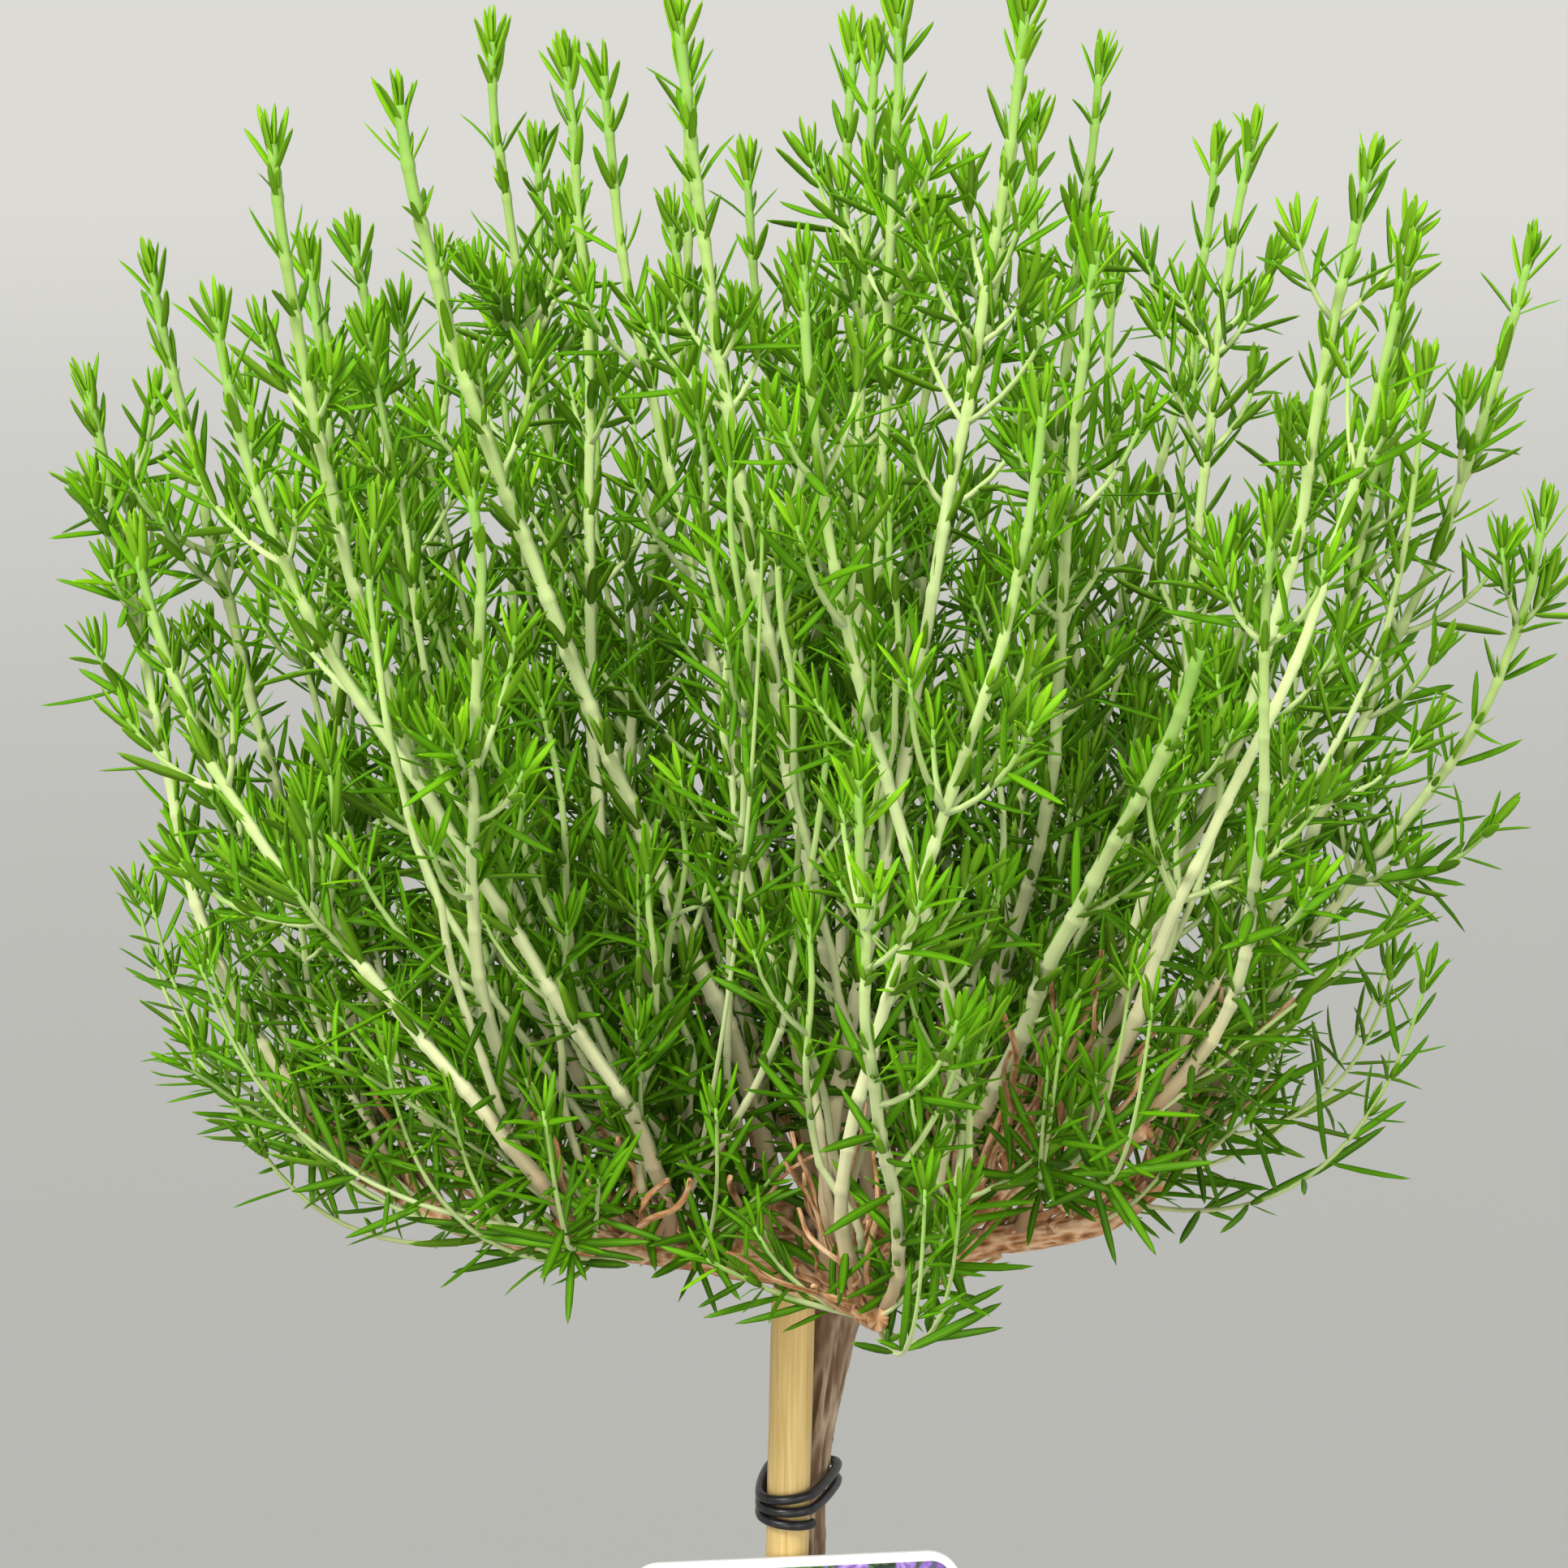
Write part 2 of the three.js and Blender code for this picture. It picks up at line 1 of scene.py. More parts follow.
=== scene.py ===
import math
import bpy
import numpy as np
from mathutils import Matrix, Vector
from mathutils.geometry import tessellate_polygon


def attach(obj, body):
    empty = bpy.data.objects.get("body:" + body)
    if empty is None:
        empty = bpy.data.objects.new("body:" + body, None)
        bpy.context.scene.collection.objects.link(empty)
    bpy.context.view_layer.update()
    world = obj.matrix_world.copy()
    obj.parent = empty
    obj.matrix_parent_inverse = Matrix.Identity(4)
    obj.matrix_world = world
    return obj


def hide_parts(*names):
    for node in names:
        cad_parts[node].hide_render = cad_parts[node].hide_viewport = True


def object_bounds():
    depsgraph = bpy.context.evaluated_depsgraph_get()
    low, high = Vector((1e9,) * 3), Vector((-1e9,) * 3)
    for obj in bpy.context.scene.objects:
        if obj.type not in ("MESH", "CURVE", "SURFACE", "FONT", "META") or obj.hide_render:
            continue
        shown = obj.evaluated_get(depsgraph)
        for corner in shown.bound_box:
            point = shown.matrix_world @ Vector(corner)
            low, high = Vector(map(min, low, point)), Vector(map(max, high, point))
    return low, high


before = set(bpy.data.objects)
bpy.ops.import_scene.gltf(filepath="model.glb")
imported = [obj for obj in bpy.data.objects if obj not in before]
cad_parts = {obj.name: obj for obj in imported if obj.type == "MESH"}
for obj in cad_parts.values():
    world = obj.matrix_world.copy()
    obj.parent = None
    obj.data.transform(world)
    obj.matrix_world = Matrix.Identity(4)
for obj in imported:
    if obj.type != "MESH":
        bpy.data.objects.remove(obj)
cadLow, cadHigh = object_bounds()
rng = np.random.default_rng(11)
mm = 0.001  # every length below is in millimetres, and newPiece turns them into metres
up = np.array([0.0, 0.0, 1.0])


# the curves of the frame

# a repeatable scatter from 0 to 1, the fraction of a large sine, alike here and in the frame's own source
def scatter(i, k):
    s = math.sin(i * 12.9898 + k * 78.233) * 43758.5453
    return s - math.floor(s)


def spread(i, k):
    return 2 * scatter(i, k) - 1


def lerp(a, b, share):
    return a + (b - a) * share


def unit(v):
    return v / np.maximum(np.linalg.norm(v, axis=-1, keepdims=True), 1e-12)


# v turned about an axis: its part across the axis swings round, its part along the axis stays
def turned(v, axis, degrees):
    a = math.radians(degrees)
    return v * math.cos(a) + np.cross(axis, v) * math.sin(a) + axis * np.dot(axis, v) * (1 - math.cos(a))


# a smooth line through points: on each span a cubic whose end slopes come from its neighbours,
# each span timed by the square root of its length
def smoothLine(points, perSpan=24):
    p = np.asarray(points, float)
    p = np.vstack([2 * p[0] - p[1], p, 2 * p[-1] - p[-2]])
    gap = np.sqrt(np.linalg.norm(np.diff(p, axis=0), axis=1))[:, None]
    a, b, c, d = p[:-3], p[1:-2], p[2:-1], p[3:]
    g0, g1, g2 = gap[:-2], gap[1:-1], gap[2:]
    slopeIn = ((b - a) / g0 - (c - a) / (g0 + g1) + (c - b) / g1) * g1
    slopeOut = ((c - b) / g1 - (d - b) / (g1 + g2) + (d - c) / g2) * g1
    t = np.linspace(0, 1, perSpan, endpoint=False)[None, :, None]
    b, c, slopeIn, slopeOut = (x[:, None, :] for x in (b, c, slopeIn, slopeOut))
    square = 3 * (c - b) - 2 * slopeIn - slopeOut
    cube = 2 * (b - c) + slopeIn + slopeOut
    line = b + slopeIn * t + square * t**2 + cube * t**3
    return np.vstack([line.reshape(-1, 3), p[-2]])


def bezierLine(p0, p1, p2, p3, count=60):
    t = np.linspace(0, 1, count)[:, None]
    return (1 - t) ** 3 * p0 + 3 * (1 - t) ** 2 * t * p1 + 3 * (1 - t) * t**2 * p2 + t**3 * p3


# a line that sets off along d0 and swings evenly round to d1
def bentLine(start, d0, d1, length, count=16):
    t = np.linspace(0, 1, count)[:, None]
    return start + length * (d0 * t + (d1 - d0) * t**2 / 2)


def lengthOf(line):
    return np.linalg.norm(np.diff(line, axis=0), axis=1).sum()


# places and directions at shares of a line's length
def alongLine(line, shares):
    run = np.concatenate([[0], np.cumsum(np.linalg.norm(np.diff(line, axis=0), axis=1))])
    run = run / run[-1]
    slope = unit(np.gradient(line, axis=0))
    at = np.stack([np.interp(shares, run, line[:, i]) for i in range(3)], 1)
    heading = unit(np.stack([np.interp(shares, run, slope[:, i]) for i in range(3)], 1))
    return at, heading


# the one place and direction at a single share of a line
def placeOn(line, share):
    at, heading = alongLine(line, [share])
    return at[0], heading[0]


# two directions square to a line all along it, the first as near as it can be to one fixed direction
def besideLine(heading, lean=(0.82, 0.5, 0.1)):
    lean = np.array(lean)
    side = unit(lean - heading * (heading @ lean)[:, None])
    return side, np.cross(heading, side)


# one direction for each angle, from side round to cross
def swing(side, cross, angle):
    return side * np.cos(angle)[:, None] + cross * np.sin(angle)[:, None]


crownBase = 470.0
head = np.array([9.5, 11.0, crownBase])
trunkSize = {"soil": 8.4, "middle": 6.3, "head": 9.6, "topRise": 13.0, "lump": 0.06}
soilTop = 134.0
caneSize = {"length": 436.0, "bottom": 34.0, "radius": 5.0, "lean": 1.3, "x": 1.2, "y": -4.0}
tieHeights = {"upper": crownBase - 52, "lower": 232.0}
branchCount = 8
branchLift = [12, 0, 0, 0, 0, 10, 4, 30]  # how much higher each branch's end is held
crown = {"rise": 295.0, "droop": 0.0026, "reach": 164.0}
# the most visible shoots, posed as they are in the frame's own source
posed = {
    4: {"azimuth": 356, "radius": 152, "rise": 235},
    5: {"azimuth": 345, "radius": 160, "rise": 182},
    17: {"azimuth": 155, "radius": 85, "rise": 279},
    22: {"azimuth": 177, "radius": 106, "rise": 236},
    25: {"azimuth": 180, "radius": 164, "rise": 204},
    26: {"azimuth": 219, "radius": 113, "rise": 272, "hold": 0.2, "girth": 1.3},
    27: {"azimuth": 211, "radius": 137, "rise": 264, "girth": 1.15},
    28: {"azimuth": 220, "radius": 162, "rise": 232},
    30: {"azimuth": 206, "radius": 163, "rise": 180},
    31: {"azimuth": 238, "radius": 60, "rise": 288, "hold": 0.1, "girth": 1.2},
    32: {"azimuth": 322, "radius": 50, "rise": 289, "hold": 0.15, "girth": 1.15},
    35: {"azimuth": 271, "radius": 161, "rise": 149, "hold": 0.15, "girth": 0.95},
    36: {"azimuth": 312, "radius": 82, "rise": 241, "girth": 1.15},
    37: {"azimuth": 305, "radius": 129, "rise": 165, "hold": 0.15, "lean": 0.45, "girth": 1.45},
    38: {"azimuth": 331, "radius": 127, "rise": 258, "girth": 1.15},
    39: {"azimuth": 325, "radius": 142, "rise": 240},
    42: {"azimuth": 188, "radius": 50, "rise": 274},
    43: {"azimuth": 310, "radius": 25, "rise": 288},
}
stations = [
    {"share": 0.2, "run": 0.4, "tipReach": 0.36, "fan": 8, "shorter": 18},
    {"share": 0.42, "run": 0.7, "tipReach": 0.58, "fan": 8, "shorter": 26},
    {"share": 0.63, "run": 1.0, "tipReach": 0.78, "fan": 10, "shorter": 34},
    {"share": 0.83, "run": 1.3, "tipReach": 0.93, "fan": 12, "shorter": 40},
    {"share": 0.985, "run": 1.9, "tipReach": 1.0, "fan": 11, "shorter": 96},
]


def around(azimuth, radius, rise):
    a = math.radians(azimuth)
    return head + np.array([radius * math.cos(a), radius * math.sin(a), rise])


def branchAzimuth(k):
    return 360 / branchCount * k + 8 * spread(k, 1)


def branchLine(k):
    azimuth = branchAzimuth(k)
    reach = 98 + 12 * spread(k, 2)
    rise = (k % 2) * 9
    lift = branchLift[k]
    bend = 7 * spread(k, 3)
    start = trunkSize["head"] * (1 + 1.6 * trunkSize["lump"]) + 0.6
    return smoothLine([
        around(azimuth, start, rise - 1),
        around(azimuth + bend * 0.4, lerp(start, reach, 0.35), rise + 3 + 0.3 * lift + 2 * scatter(k, 4)),
        around(azimuth + bend, lerp(start, reach, 0.7), rise + 6 + 0.65 * lift + 5 * scatter(k, 5)),
        around(azimuth + bend * 0.5, reach, rise + 14 + lift + 8 * scatter(k, 6)),
    ])


def branchRadius(share):
    return lerp(4.1, 2.3, share**0.8)


# where a shoot stands on its branch, the way it sets off, and where its tip ends
def shootPlan(n):
    own = posed.get(n + 1, {})
    onKnot = n - branchCount * len(stations)
    if onKnot >= 0:
        azimuth = 120 * onKnot + 70
        radius = own.get("radius", 22 + 6 * scatter(n, 10))
        rise = own.get("rise", crown["rise"] - 10 - 16 * scatter(n, 11))
        tip = around(own.get("azimuth", azimuth), radius, rise)
        return around(azimuth, 4.2, trunkSize["topRise"] + 1), up, up, tip
    k, j = divmod(n, len(stations))
    station = stations[j]
    at, heading = placeOn(branchLine(k), station["share"])
    turn = -1 if j % 2 else 1
    side = unit(np.cross(heading, up))
    seat = turned(np.cross(side, heading), heading, -34 * turn)
    radius = own.get("radius", crown["reach"] * station["tipReach"] + 5 * spread(n, 12))
    azimuth = own.get("azimuth", branchAzimuth(k) - turn * station["fan"] - 2.5 * spread(n, 13))
    dome = crown["rise"] - crown["droop"] * radius**2
    rise = own.get("rise", dome - station["shorter"] * scatter(n, 14))
    base = at + seat * (1.08 * branchRadius(station["share"]) + 0.5)
    return base, seat, unit(seat + heading * own.get("run", station["run"])), around(azimuth, radius, rise)


def shootLine(n):
    base, seat, out, tip = shootPlan(n)
    flat = (tip - head) * [1, 1, 0]
    reach = np.linalg.norm(flat)
    length = np.linalg.norm(tip - base)
    own = posed.get(n + 1, {})
    last = unit(up + flat / reach * own.get("lean", 0.02 + 0.16 * reach / crown["reach"]))
    return bezierLine(base, base + out * own.get("hold", 0.36) * length, tip - last * 0.42 * length, tip)


trunkLine = smoothLine([
    [2, 10.5, 62],
    [2, 10.5, soilTop],
    [-1.5, 10.4, soilTop + 80],
    [-0.8, 11.2, soilTop + 180],
    [3.4, 10.4, tieHeights["upper"]],
    [8, 10.6, crownBase - 18],
    [head[0], head[1], crownBase + trunkSize["topRise"]],
])


def trunkGirth(z):
    flare = (trunkSize["soil"] - trunkSize["middle"]) * np.exp(-np.abs(z - soilTop) / 26)
    knot = (trunkSize["head"] - trunkSize["middle"]) * np.exp(-(((z - crownBase) / 13) ** 2))
    return trunkSize["middle"] + flare + knot


def caneAt(z):
    lean = math.tan(math.radians(caneSize["lean"]))
    return np.array([caneSize["x"] + (z - crownBase) * lean, caneSize["y"], z])


print("frame curves ready")


# making meshes

def inScene(name, data):
    made = bpy.data.objects.new(name, data)
    bpy.context.scene.collection.objects.link(made)
    return made


# points in millimetres; faces is a list of index arrays, one row a face; uv has a row for each corner
def newPiece(name, points, faces, look, nodes=(), uv=None, sharpAbove=None, grain=None):
    mesh = bpy.data.meshes.new(name)
    corners = np.concatenate([f.ravel() for f in faces]).astype(np.int32)
    sizes = np.concatenate([np.full(len(f), f.shape[1]) for f in faces])
    mesh.vertices.add(len(points))
    mesh.vertices.foreach_set("co", (np.asarray(points) * mm).astype(np.float32).ravel())
    mesh.loops.add(len(corners))
    mesh.loops.foreach_set("vertex_index", corners)
    mesh.polygons.add(len(sizes))
    mesh.polygons.foreach_set("loop_start", np.concatenate([[0], np.cumsum(sizes)[:-1]]).astype(np.int32))
    mesh.polygons.foreach_set("use_smooth", np.ones(len(sizes), bool))
    if uv is not None:
        layer = mesh.uv_layers.new(name="OFBake")
        layer.uv.foreach_set("vector", np.asarray(uv, np.float32).ravel())
    if grain is not None:
        mesh.attributes.new("barkReliefShade", "FLOAT", "POINT").data.foreach_set("value", grain.astype(np.float32))
    mesh.update(calc_edges=True)
    mesh.validate()
    if sharpAbove:
        mesh.set_sharp_from_angle(angle=math.radians(sharpAbove))
    mesh.materials.append(look)
    piece = inScene(name, mesh)
    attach(piece, "root")
    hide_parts(*nodes)
    return piece


# several shapes as one, each shape being points, quads, fans and their corners' uv
def together(shapes):
    counts = np.cumsum([0] + [len(s["points"]) for s in shapes[:-1]])
    quads = np.vstack([s["quads"] + n for s, n in zip(shapes, counts)])
    fans = np.vstack([s["fans"] + n for s, n in zip(shapes, counts)])
    uv = np.vstack([s["quadUv"] for s in shapes] + [s["fanUv"] for s in shapes])
    return np.vstack([s["points"] for s in shapes]), [quads, fans], uv


# how far each point of a bark tube stands up, from a crack at 0 to a raised fibre at 1; the bark's colour
# follows it, partly its own and partly painted shade in the cracks and painted highlight on the fibres
def withReliefShade(shape, grain):
    ends = [grain[0].mean(), grain[-1].mean()]
    return {**shape, "grain": np.clip(np.concatenate([grain.ravel(), ends]), 0, 1)}


def barkPiece(name, shapes, look, node):
    points, faces, _ = together(shapes)
    grain = np.concatenate([s["grain"] for s in shapes])
    newPiece(name, points, faces, look, [node], grain=grain)


# A tube: round each point of a line stands a ring of corners, ring point = place + radius times
# (side cos a + cross sin a); radii has one row a ring and one column a corner. A point closes each end.
def tube(line, side, cross, radii, ages):
    rings, sides = radii.shape
    a = np.linspace(0, 2 * np.pi, sides, endpoint=False)
    ring = side[:, None] * np.cos(a)[None, :, None] + cross[:, None] * np.sin(a)[None, :, None]
    points = (line[:, None] + ring * radii[:, :, None]).reshape(-1, 3)
    row, col = np.meshgrid(np.arange(rings - 1), np.arange(sides), indexing="ij")
    nextCol = (col + 1) % sides
    here, above = row * sides, (row + 1) * sides
    quads = np.stack([here + col, here + nextCol, above + nextCol, above + col], -1)
    lowU, highU = col / sides, (col + 1) / sides
    quadUv = np.stack([lowU, ages[row], highU, ages[row], highU, ages[row + 1], lowU, ages[row + 1]], -1)
    s = np.arange(sides)
    s1 = (s + 1) % sides
    top = (rings - 1) * sides
    first, last = np.full(sides, len(points)), np.full(sides, len(points) + 1)
    fans = np.vstack([np.stack([first, s1, s], 1), np.stack([last, top + s, top + s1], 1)])
    mid, low, high = (s + 0.5) / sides, s / sides, (s + 1) / sides
    start, end = np.full(sides, ages[0]), np.full(sides, ages[-1])
    fanUv = np.vstack([
        np.stack([mid, start, high, start, low, start], 1),
        np.stack([mid, end, low, end, high, end], 1),
    ])
    return {
        "points": np.vstack([points, line[0], line[-1]]),
        "quads": quads.reshape(-1, 4),
        "fans": fans,
        "quadUv": quadUv.reshape(-1, 2),
        "fanUv": fanUv.reshape(-1, 2),
    }


# smooth noise on a sheet that closes round u: random heights on a lattice, eased between
def latticeNoise(u, v, cellsRound, cellsAlong, seed):
    heights = np.random.default_rng(seed).random((cellsAlong + 2, cellsRound))
    x, y = (u % 1) * cellsRound, np.clip(v, 0, 1) * cellsAlong
    x0, y0 = np.floor(x).astype(int), np.floor(y).astype(int)
    fx, fy = x - x0, y - y0
    fx, fy = fx * fx * (3 - 2 * fx), fy * fy * (3 - 2 * fy)
    x0, x1 = x0 % cellsRound, (x0 + 1) % cellsRound
    low = lerp(heights[y0, x0], heights[y0, x1], fx)
    high = lerp(heights[y0 + 1, x0], heights[y0 + 1, x1], fx)
    return lerp(low, high, fy)


# materials

class Look:
    # a material whose nodes are added by short calls; surface is its main shader
    def __init__(self, name, roughness, specular=0.5, sheen=0.0, coat=0.0):
        self.material = bpy.data.materials.new(name)
        self.material.use_nodes = True
        self.tree = self.material.node_tree
        self.surface = self.tree.nodes["Principled BSDF"]
        self.surface.inputs["Roughness"].default_value = roughness
        self.surface.inputs["Specular IOR Level"].default_value = specular
        self.surface.inputs["Sheen Weight"].default_value = sheen
        self.surface.inputs["Coat Weight"].default_value = coat

    def node(self, kind, settings=None, **inputs):
        node = self.tree.nodes.new(kind)
        for key, value in (settings or {}).items():
            setattr(node, key, value)
        for key, value in inputs.items():
            self.feed(node, int(key[1:]) if key[1:].isdigit() else key.replace("_", " "), value)
        return node

    def feed(self, node, key, value):
        socket = node.inputs[key]
        if isinstance(value, bpy.types.NodeSocket):
            self.tree.links.new(value, socket)
        else:
            socket.default_value = value

    def math(self, operation, a, b=0.0):
        return self.node("ShaderNodeMath", {"operation": operation}, i0=a, i1=b).outputs[0]

    def plus(self, a, b):
        return self.math("ADD", a, b)

    def less(self, a, b):
        return self.math("SUBTRACT", a, b)

    def times(self, a, b):
        return self.math("MULTIPLY", a, b)

    # the same for places and colours, three numbers at a time
    def vector(self, operation, output="Vector", **inputs):
        return self.node("ShaderNodeVectorMath", {"operation": operation}, **inputs).outputs[output]

    # one colour to another, across stops of (place, colour), where a plain number is a grey
    def ramp(self, value, stops):
        node = self.node("ShaderNodeValToRGB", None, Fac=value)
        while len(node.color_ramp.elements) < len(stops):
            node.color_ramp.elements.new(0.5)
        for element, (place, colour) in zip(node.color_ramp.elements, stops):
            element.position = place
            element.color = (*(colour if isinstance(colour, tuple) else [colour] * 3), 1)
        return node.outputs["Color"]

    def mix(self, share, a, b):
        node = self.node("ShaderNodeMix", {"data_type": "RGBA"}, i0=share)
        self.feed(node, 6, a if isinstance(a, bpy.types.NodeSocket) else (*a, 1))
        self.feed(node, 7, b if isinstance(b, bpy.types.NodeSocket) else (*b, 1))
        return node.outputs[2]

    def onPiece(self):
        return self.node("ShaderNodeTexCoord").outputs["Object"]

    def onMap(self):
        return self.node("ShaderNodeUVMap", {"uv_map": "OFBake"}).outputs["UV"]

    def axes(self, where):
        return self.node("ShaderNodeSeparateXYZ", None, Vector=where).outputs

    def stretched(self, where, scale, **turn):
        return self.node("ShaderNodeMapping", None, Vector=where, Scale=scale, **turn).outputs["Vector"]

    def noise(self, where, scale, detail=4.0, roughness=0.55, distortion=0.0):
        rule = {"Scale": scale, "Detail": detail, "Roughness": roughness, "Distortion": distortion}
        return self.node("ShaderNodeTexNoise", None, Vector=where, **rule).outputs["Fac"]

    # flat noise and flat cells, for a picture drawn on the map
    def flatNoise(self, where, scale, detail, output="Fac"):
        flat = {"noise_dimensions": "2D"}
        node = self.node("ShaderNodeTexNoise", flat, Vector=where, Scale=scale, Detail=detail)
        return node.outputs[output]

    def flatCells(self, where, scale, randomness):
        rule = {"Scale": scale, "Randomness": randomness}
        node = self.node("ShaderNodeTexVoronoi", {"voronoi_dimensions": "2D"}, Vector=where, **rule)
        return node.outputs["Distance"]

    def bump(self, height, strength, distance):
        return self.node(
            "ShaderNodeBump", None, Height=height, Strength=strength, Distance=distance * mm
        ).outputs["Normal"]

    def wear(self, **inputs):
        for key, value in inputs.items():
            self.feed(self.surface, key.replace("_", " "), value)
        return self.material


# leaf colours run by tint across the map and by length up it, the tint carrying painted shade; the
# lower half of the map is the upper face of the leaf and the upper half its underside
leafTintAndShadeCells = 16


def leafLook():
    look = Look("rosemary_leaf", 0.52, specular=0.1)
    look.surface.inputs["Subsurface Weight"].default_value = 0.12
    look.surface.inputs["Subsurface Radius"].default_value = (0.4, 1.0, 0.15)
    look.surface.inputs["Subsurface Scale"].default_value = 0.0012
    axes = look.axes(look.onMap())
    cell = look.times(axes["X"], float(leafTintAndShadeCells))
    tintAndShade = look.math("DIVIDE", look.math("FLOOR", cell), leafTintAndShadeCells - 1.0)
    across = look.math("ABSOLUTE", look.less(look.math("FRACT", cell), 0.5))
    double = look.times(axes["Y"], 2.0)
    under = look.math("GREATER_THAN", double, 1.0)
    length = look.math("FRACT", double)
    # painted shade: the darkest tints are leaves deep in the crown, the brightest those lit at its top and
    # rim
    body = look.ramp(tintAndShade, [
        (0.0, (0.10, 0.055, 0.018)),
        (0.07, (0.014, 0.045, 0.001)),
        (0.35, (0.038, 0.120, 0.001)),
        (0.62, (0.076, 0.235, 0.001)),
        (0.85, (0.135, 0.38, 0.002)),
        (1.0, (0.25, 0.55, 0.008)),
    ])
    # the midrib band: on the upper face it is lighter, partly the rib's own colour and partly a painted
    # highlight of light through the leaf; on the underside it is darker
    ribAndHighlight = look.ramp(across, [(0.0, 1.0), (0.07, 0.55), (0.14, 0.0)])
    body = look.mix(look.times(ribAndHighlight, 0.35), body, (0.18, 0.42, 0.02))
    tip = look.ramp(length, [(0.0, 0.5), (0.15, 0.0), (0.86, 0.0), (1.0, 0.4)])
    body = look.mix(tip, body, (0.24, 0.46, 0.02))
    pale = look.mix(0.34, body, (0.26, 0.42, 0.03))
    pale = look.mix(look.times(ribAndHighlight, 0.5), pale, (0.12, 0.30, 0.02))
    return look.wear(Base_Color=look.mix(under, body, pale))


# stem colour runs by age up the map: brown wood, then cream, then pale green; ridges are greener
def stemLook():
    look = Look("green_stem", 0.62, specular=0.3, sheen=0.15)
    where = look.onMap()
    axes = look.axes(where)
    streaks = look.noise(look.stretched(where, (26, 9, 1)), 1.0, 5.0, 0.65)
    body = look.ramp(axes["Y"], [
        (0.0, (0.20, 0.085, 0.035)),
        (0.10, (0.40, 0.22, 0.11)),
        (0.18, (0.68, 0.54, 0.33)),
        (0.30, (0.74, 0.75, 0.43)),
        (0.55, (0.63, 0.76, 0.34)),
        (0.80, (0.46, 0.66, 0.19)),
        (1.0, (0.18, 0.47, 0.03)),
    ])
    ridge = look.math("ABSOLUTE", look.math("SINE", look.times(axes["X"], 4 * math.pi)))
    body = look.mix(look.times(ridge, 0.28), body, look.mix(0.5, body, (0.20, 0.36, 0.08)))
    fleck = look.ramp(streaks, [(0.35, 0.0), (0.75, 1.0)])
    body = look.mix(look.times(fleck, 0.25), body, (0.42, 0.24, 0.11))
    return look.wear(Base_Color=body)


def barkLook(name, dark, middle, pale, stretch):
    look = Look(name, 0.88, specular=0.2)
    where = look.stretched(look.onPiece(), stretch)
    raised = look.node("ShaderNodeAttribute", {"attribute_name": "barkReliefShade"}).outputs["Fac"]
    fibres = look.noise(where, 600.0, 5.0, 0.65, 0.3)
    strips = look.plus(look.times(raised, 0.62), look.times(fibres, 0.38))
    patches = look.noise(look.onPiece(), 60.0, 3.0)
    # darkest in the cracks, palest on the raised fibres: partly the bark's own strips, partly painted shade
    # in the cracks and painted highlight on the raised fibres
    body = look.ramp(strips, [(0.22, dark), (0.48, middle), (0.74, pale)])
    body = look.mix(look.times(patches, 0.35), body, look.mix(0.4, body, dark))
    rough = look.ramp(strips, [(0.3, 0.95), (0.7, 0.78)])
    fine = look.noise(where, 420.0, 4.0, 0.6)
    normal = look.bump(look.plus(strips, look.times(fine, 0.4)), 0.75, 0.9)
    return look.wear(Base_Color=body, Roughness=rough, Normal=normal)


leafMaterial = leafLook()
stemMaterial = stemLook()
trunkTones = [(0.045, 0.026, 0.014), (0.22, 0.135, 0.078), (0.56, 0.44, 0.31)]
woodTones = [(0.12, 0.045, 0.016), (0.50, 0.24, 0.095), (0.86, 0.60, 0.37)]
trunkMaterial = barkLook("trunk_bark", *trunkTones, (1, 1, 0.1))
woodMaterial = barkLook("branch_bark", *woodTones, (0.6, 0.6, 0.6))
print("plant materials ready")


# leaves

# A needle leaf: rings of points carried along its length, their width and thickness following
# the rows below; the upper face has a groove down its middle and the edges are rolled under.
# Small leaves have fewer points, and a ridge in place of the groove.
leafForm = {
    "rows": np.array([0.0, 0.13, 0.40, 0.70, 0.90]),
    "halfWidth": np.array([0.30, 0.80, 1.00, 0.88, 0.52]),
    "across": np.array([-1.0, -0.52, 0.0, 0.52, 1.0, 0.0]),
    "rise": np.array([-0.55, 0.62, 0.16, 0.62, -0.55, -0.42]),
}
smallForm = {
    "rows": np.array([0.0, 0.35, 0.78]),
    "halfWidth": np.array([0.38, 1.0, 0.72]),
    "across": np.array([-1.0, 0.0, 1.0, 0.0]),
    "rise": np.array([-0.30, 0.50, -0.30, -0.50]),
}


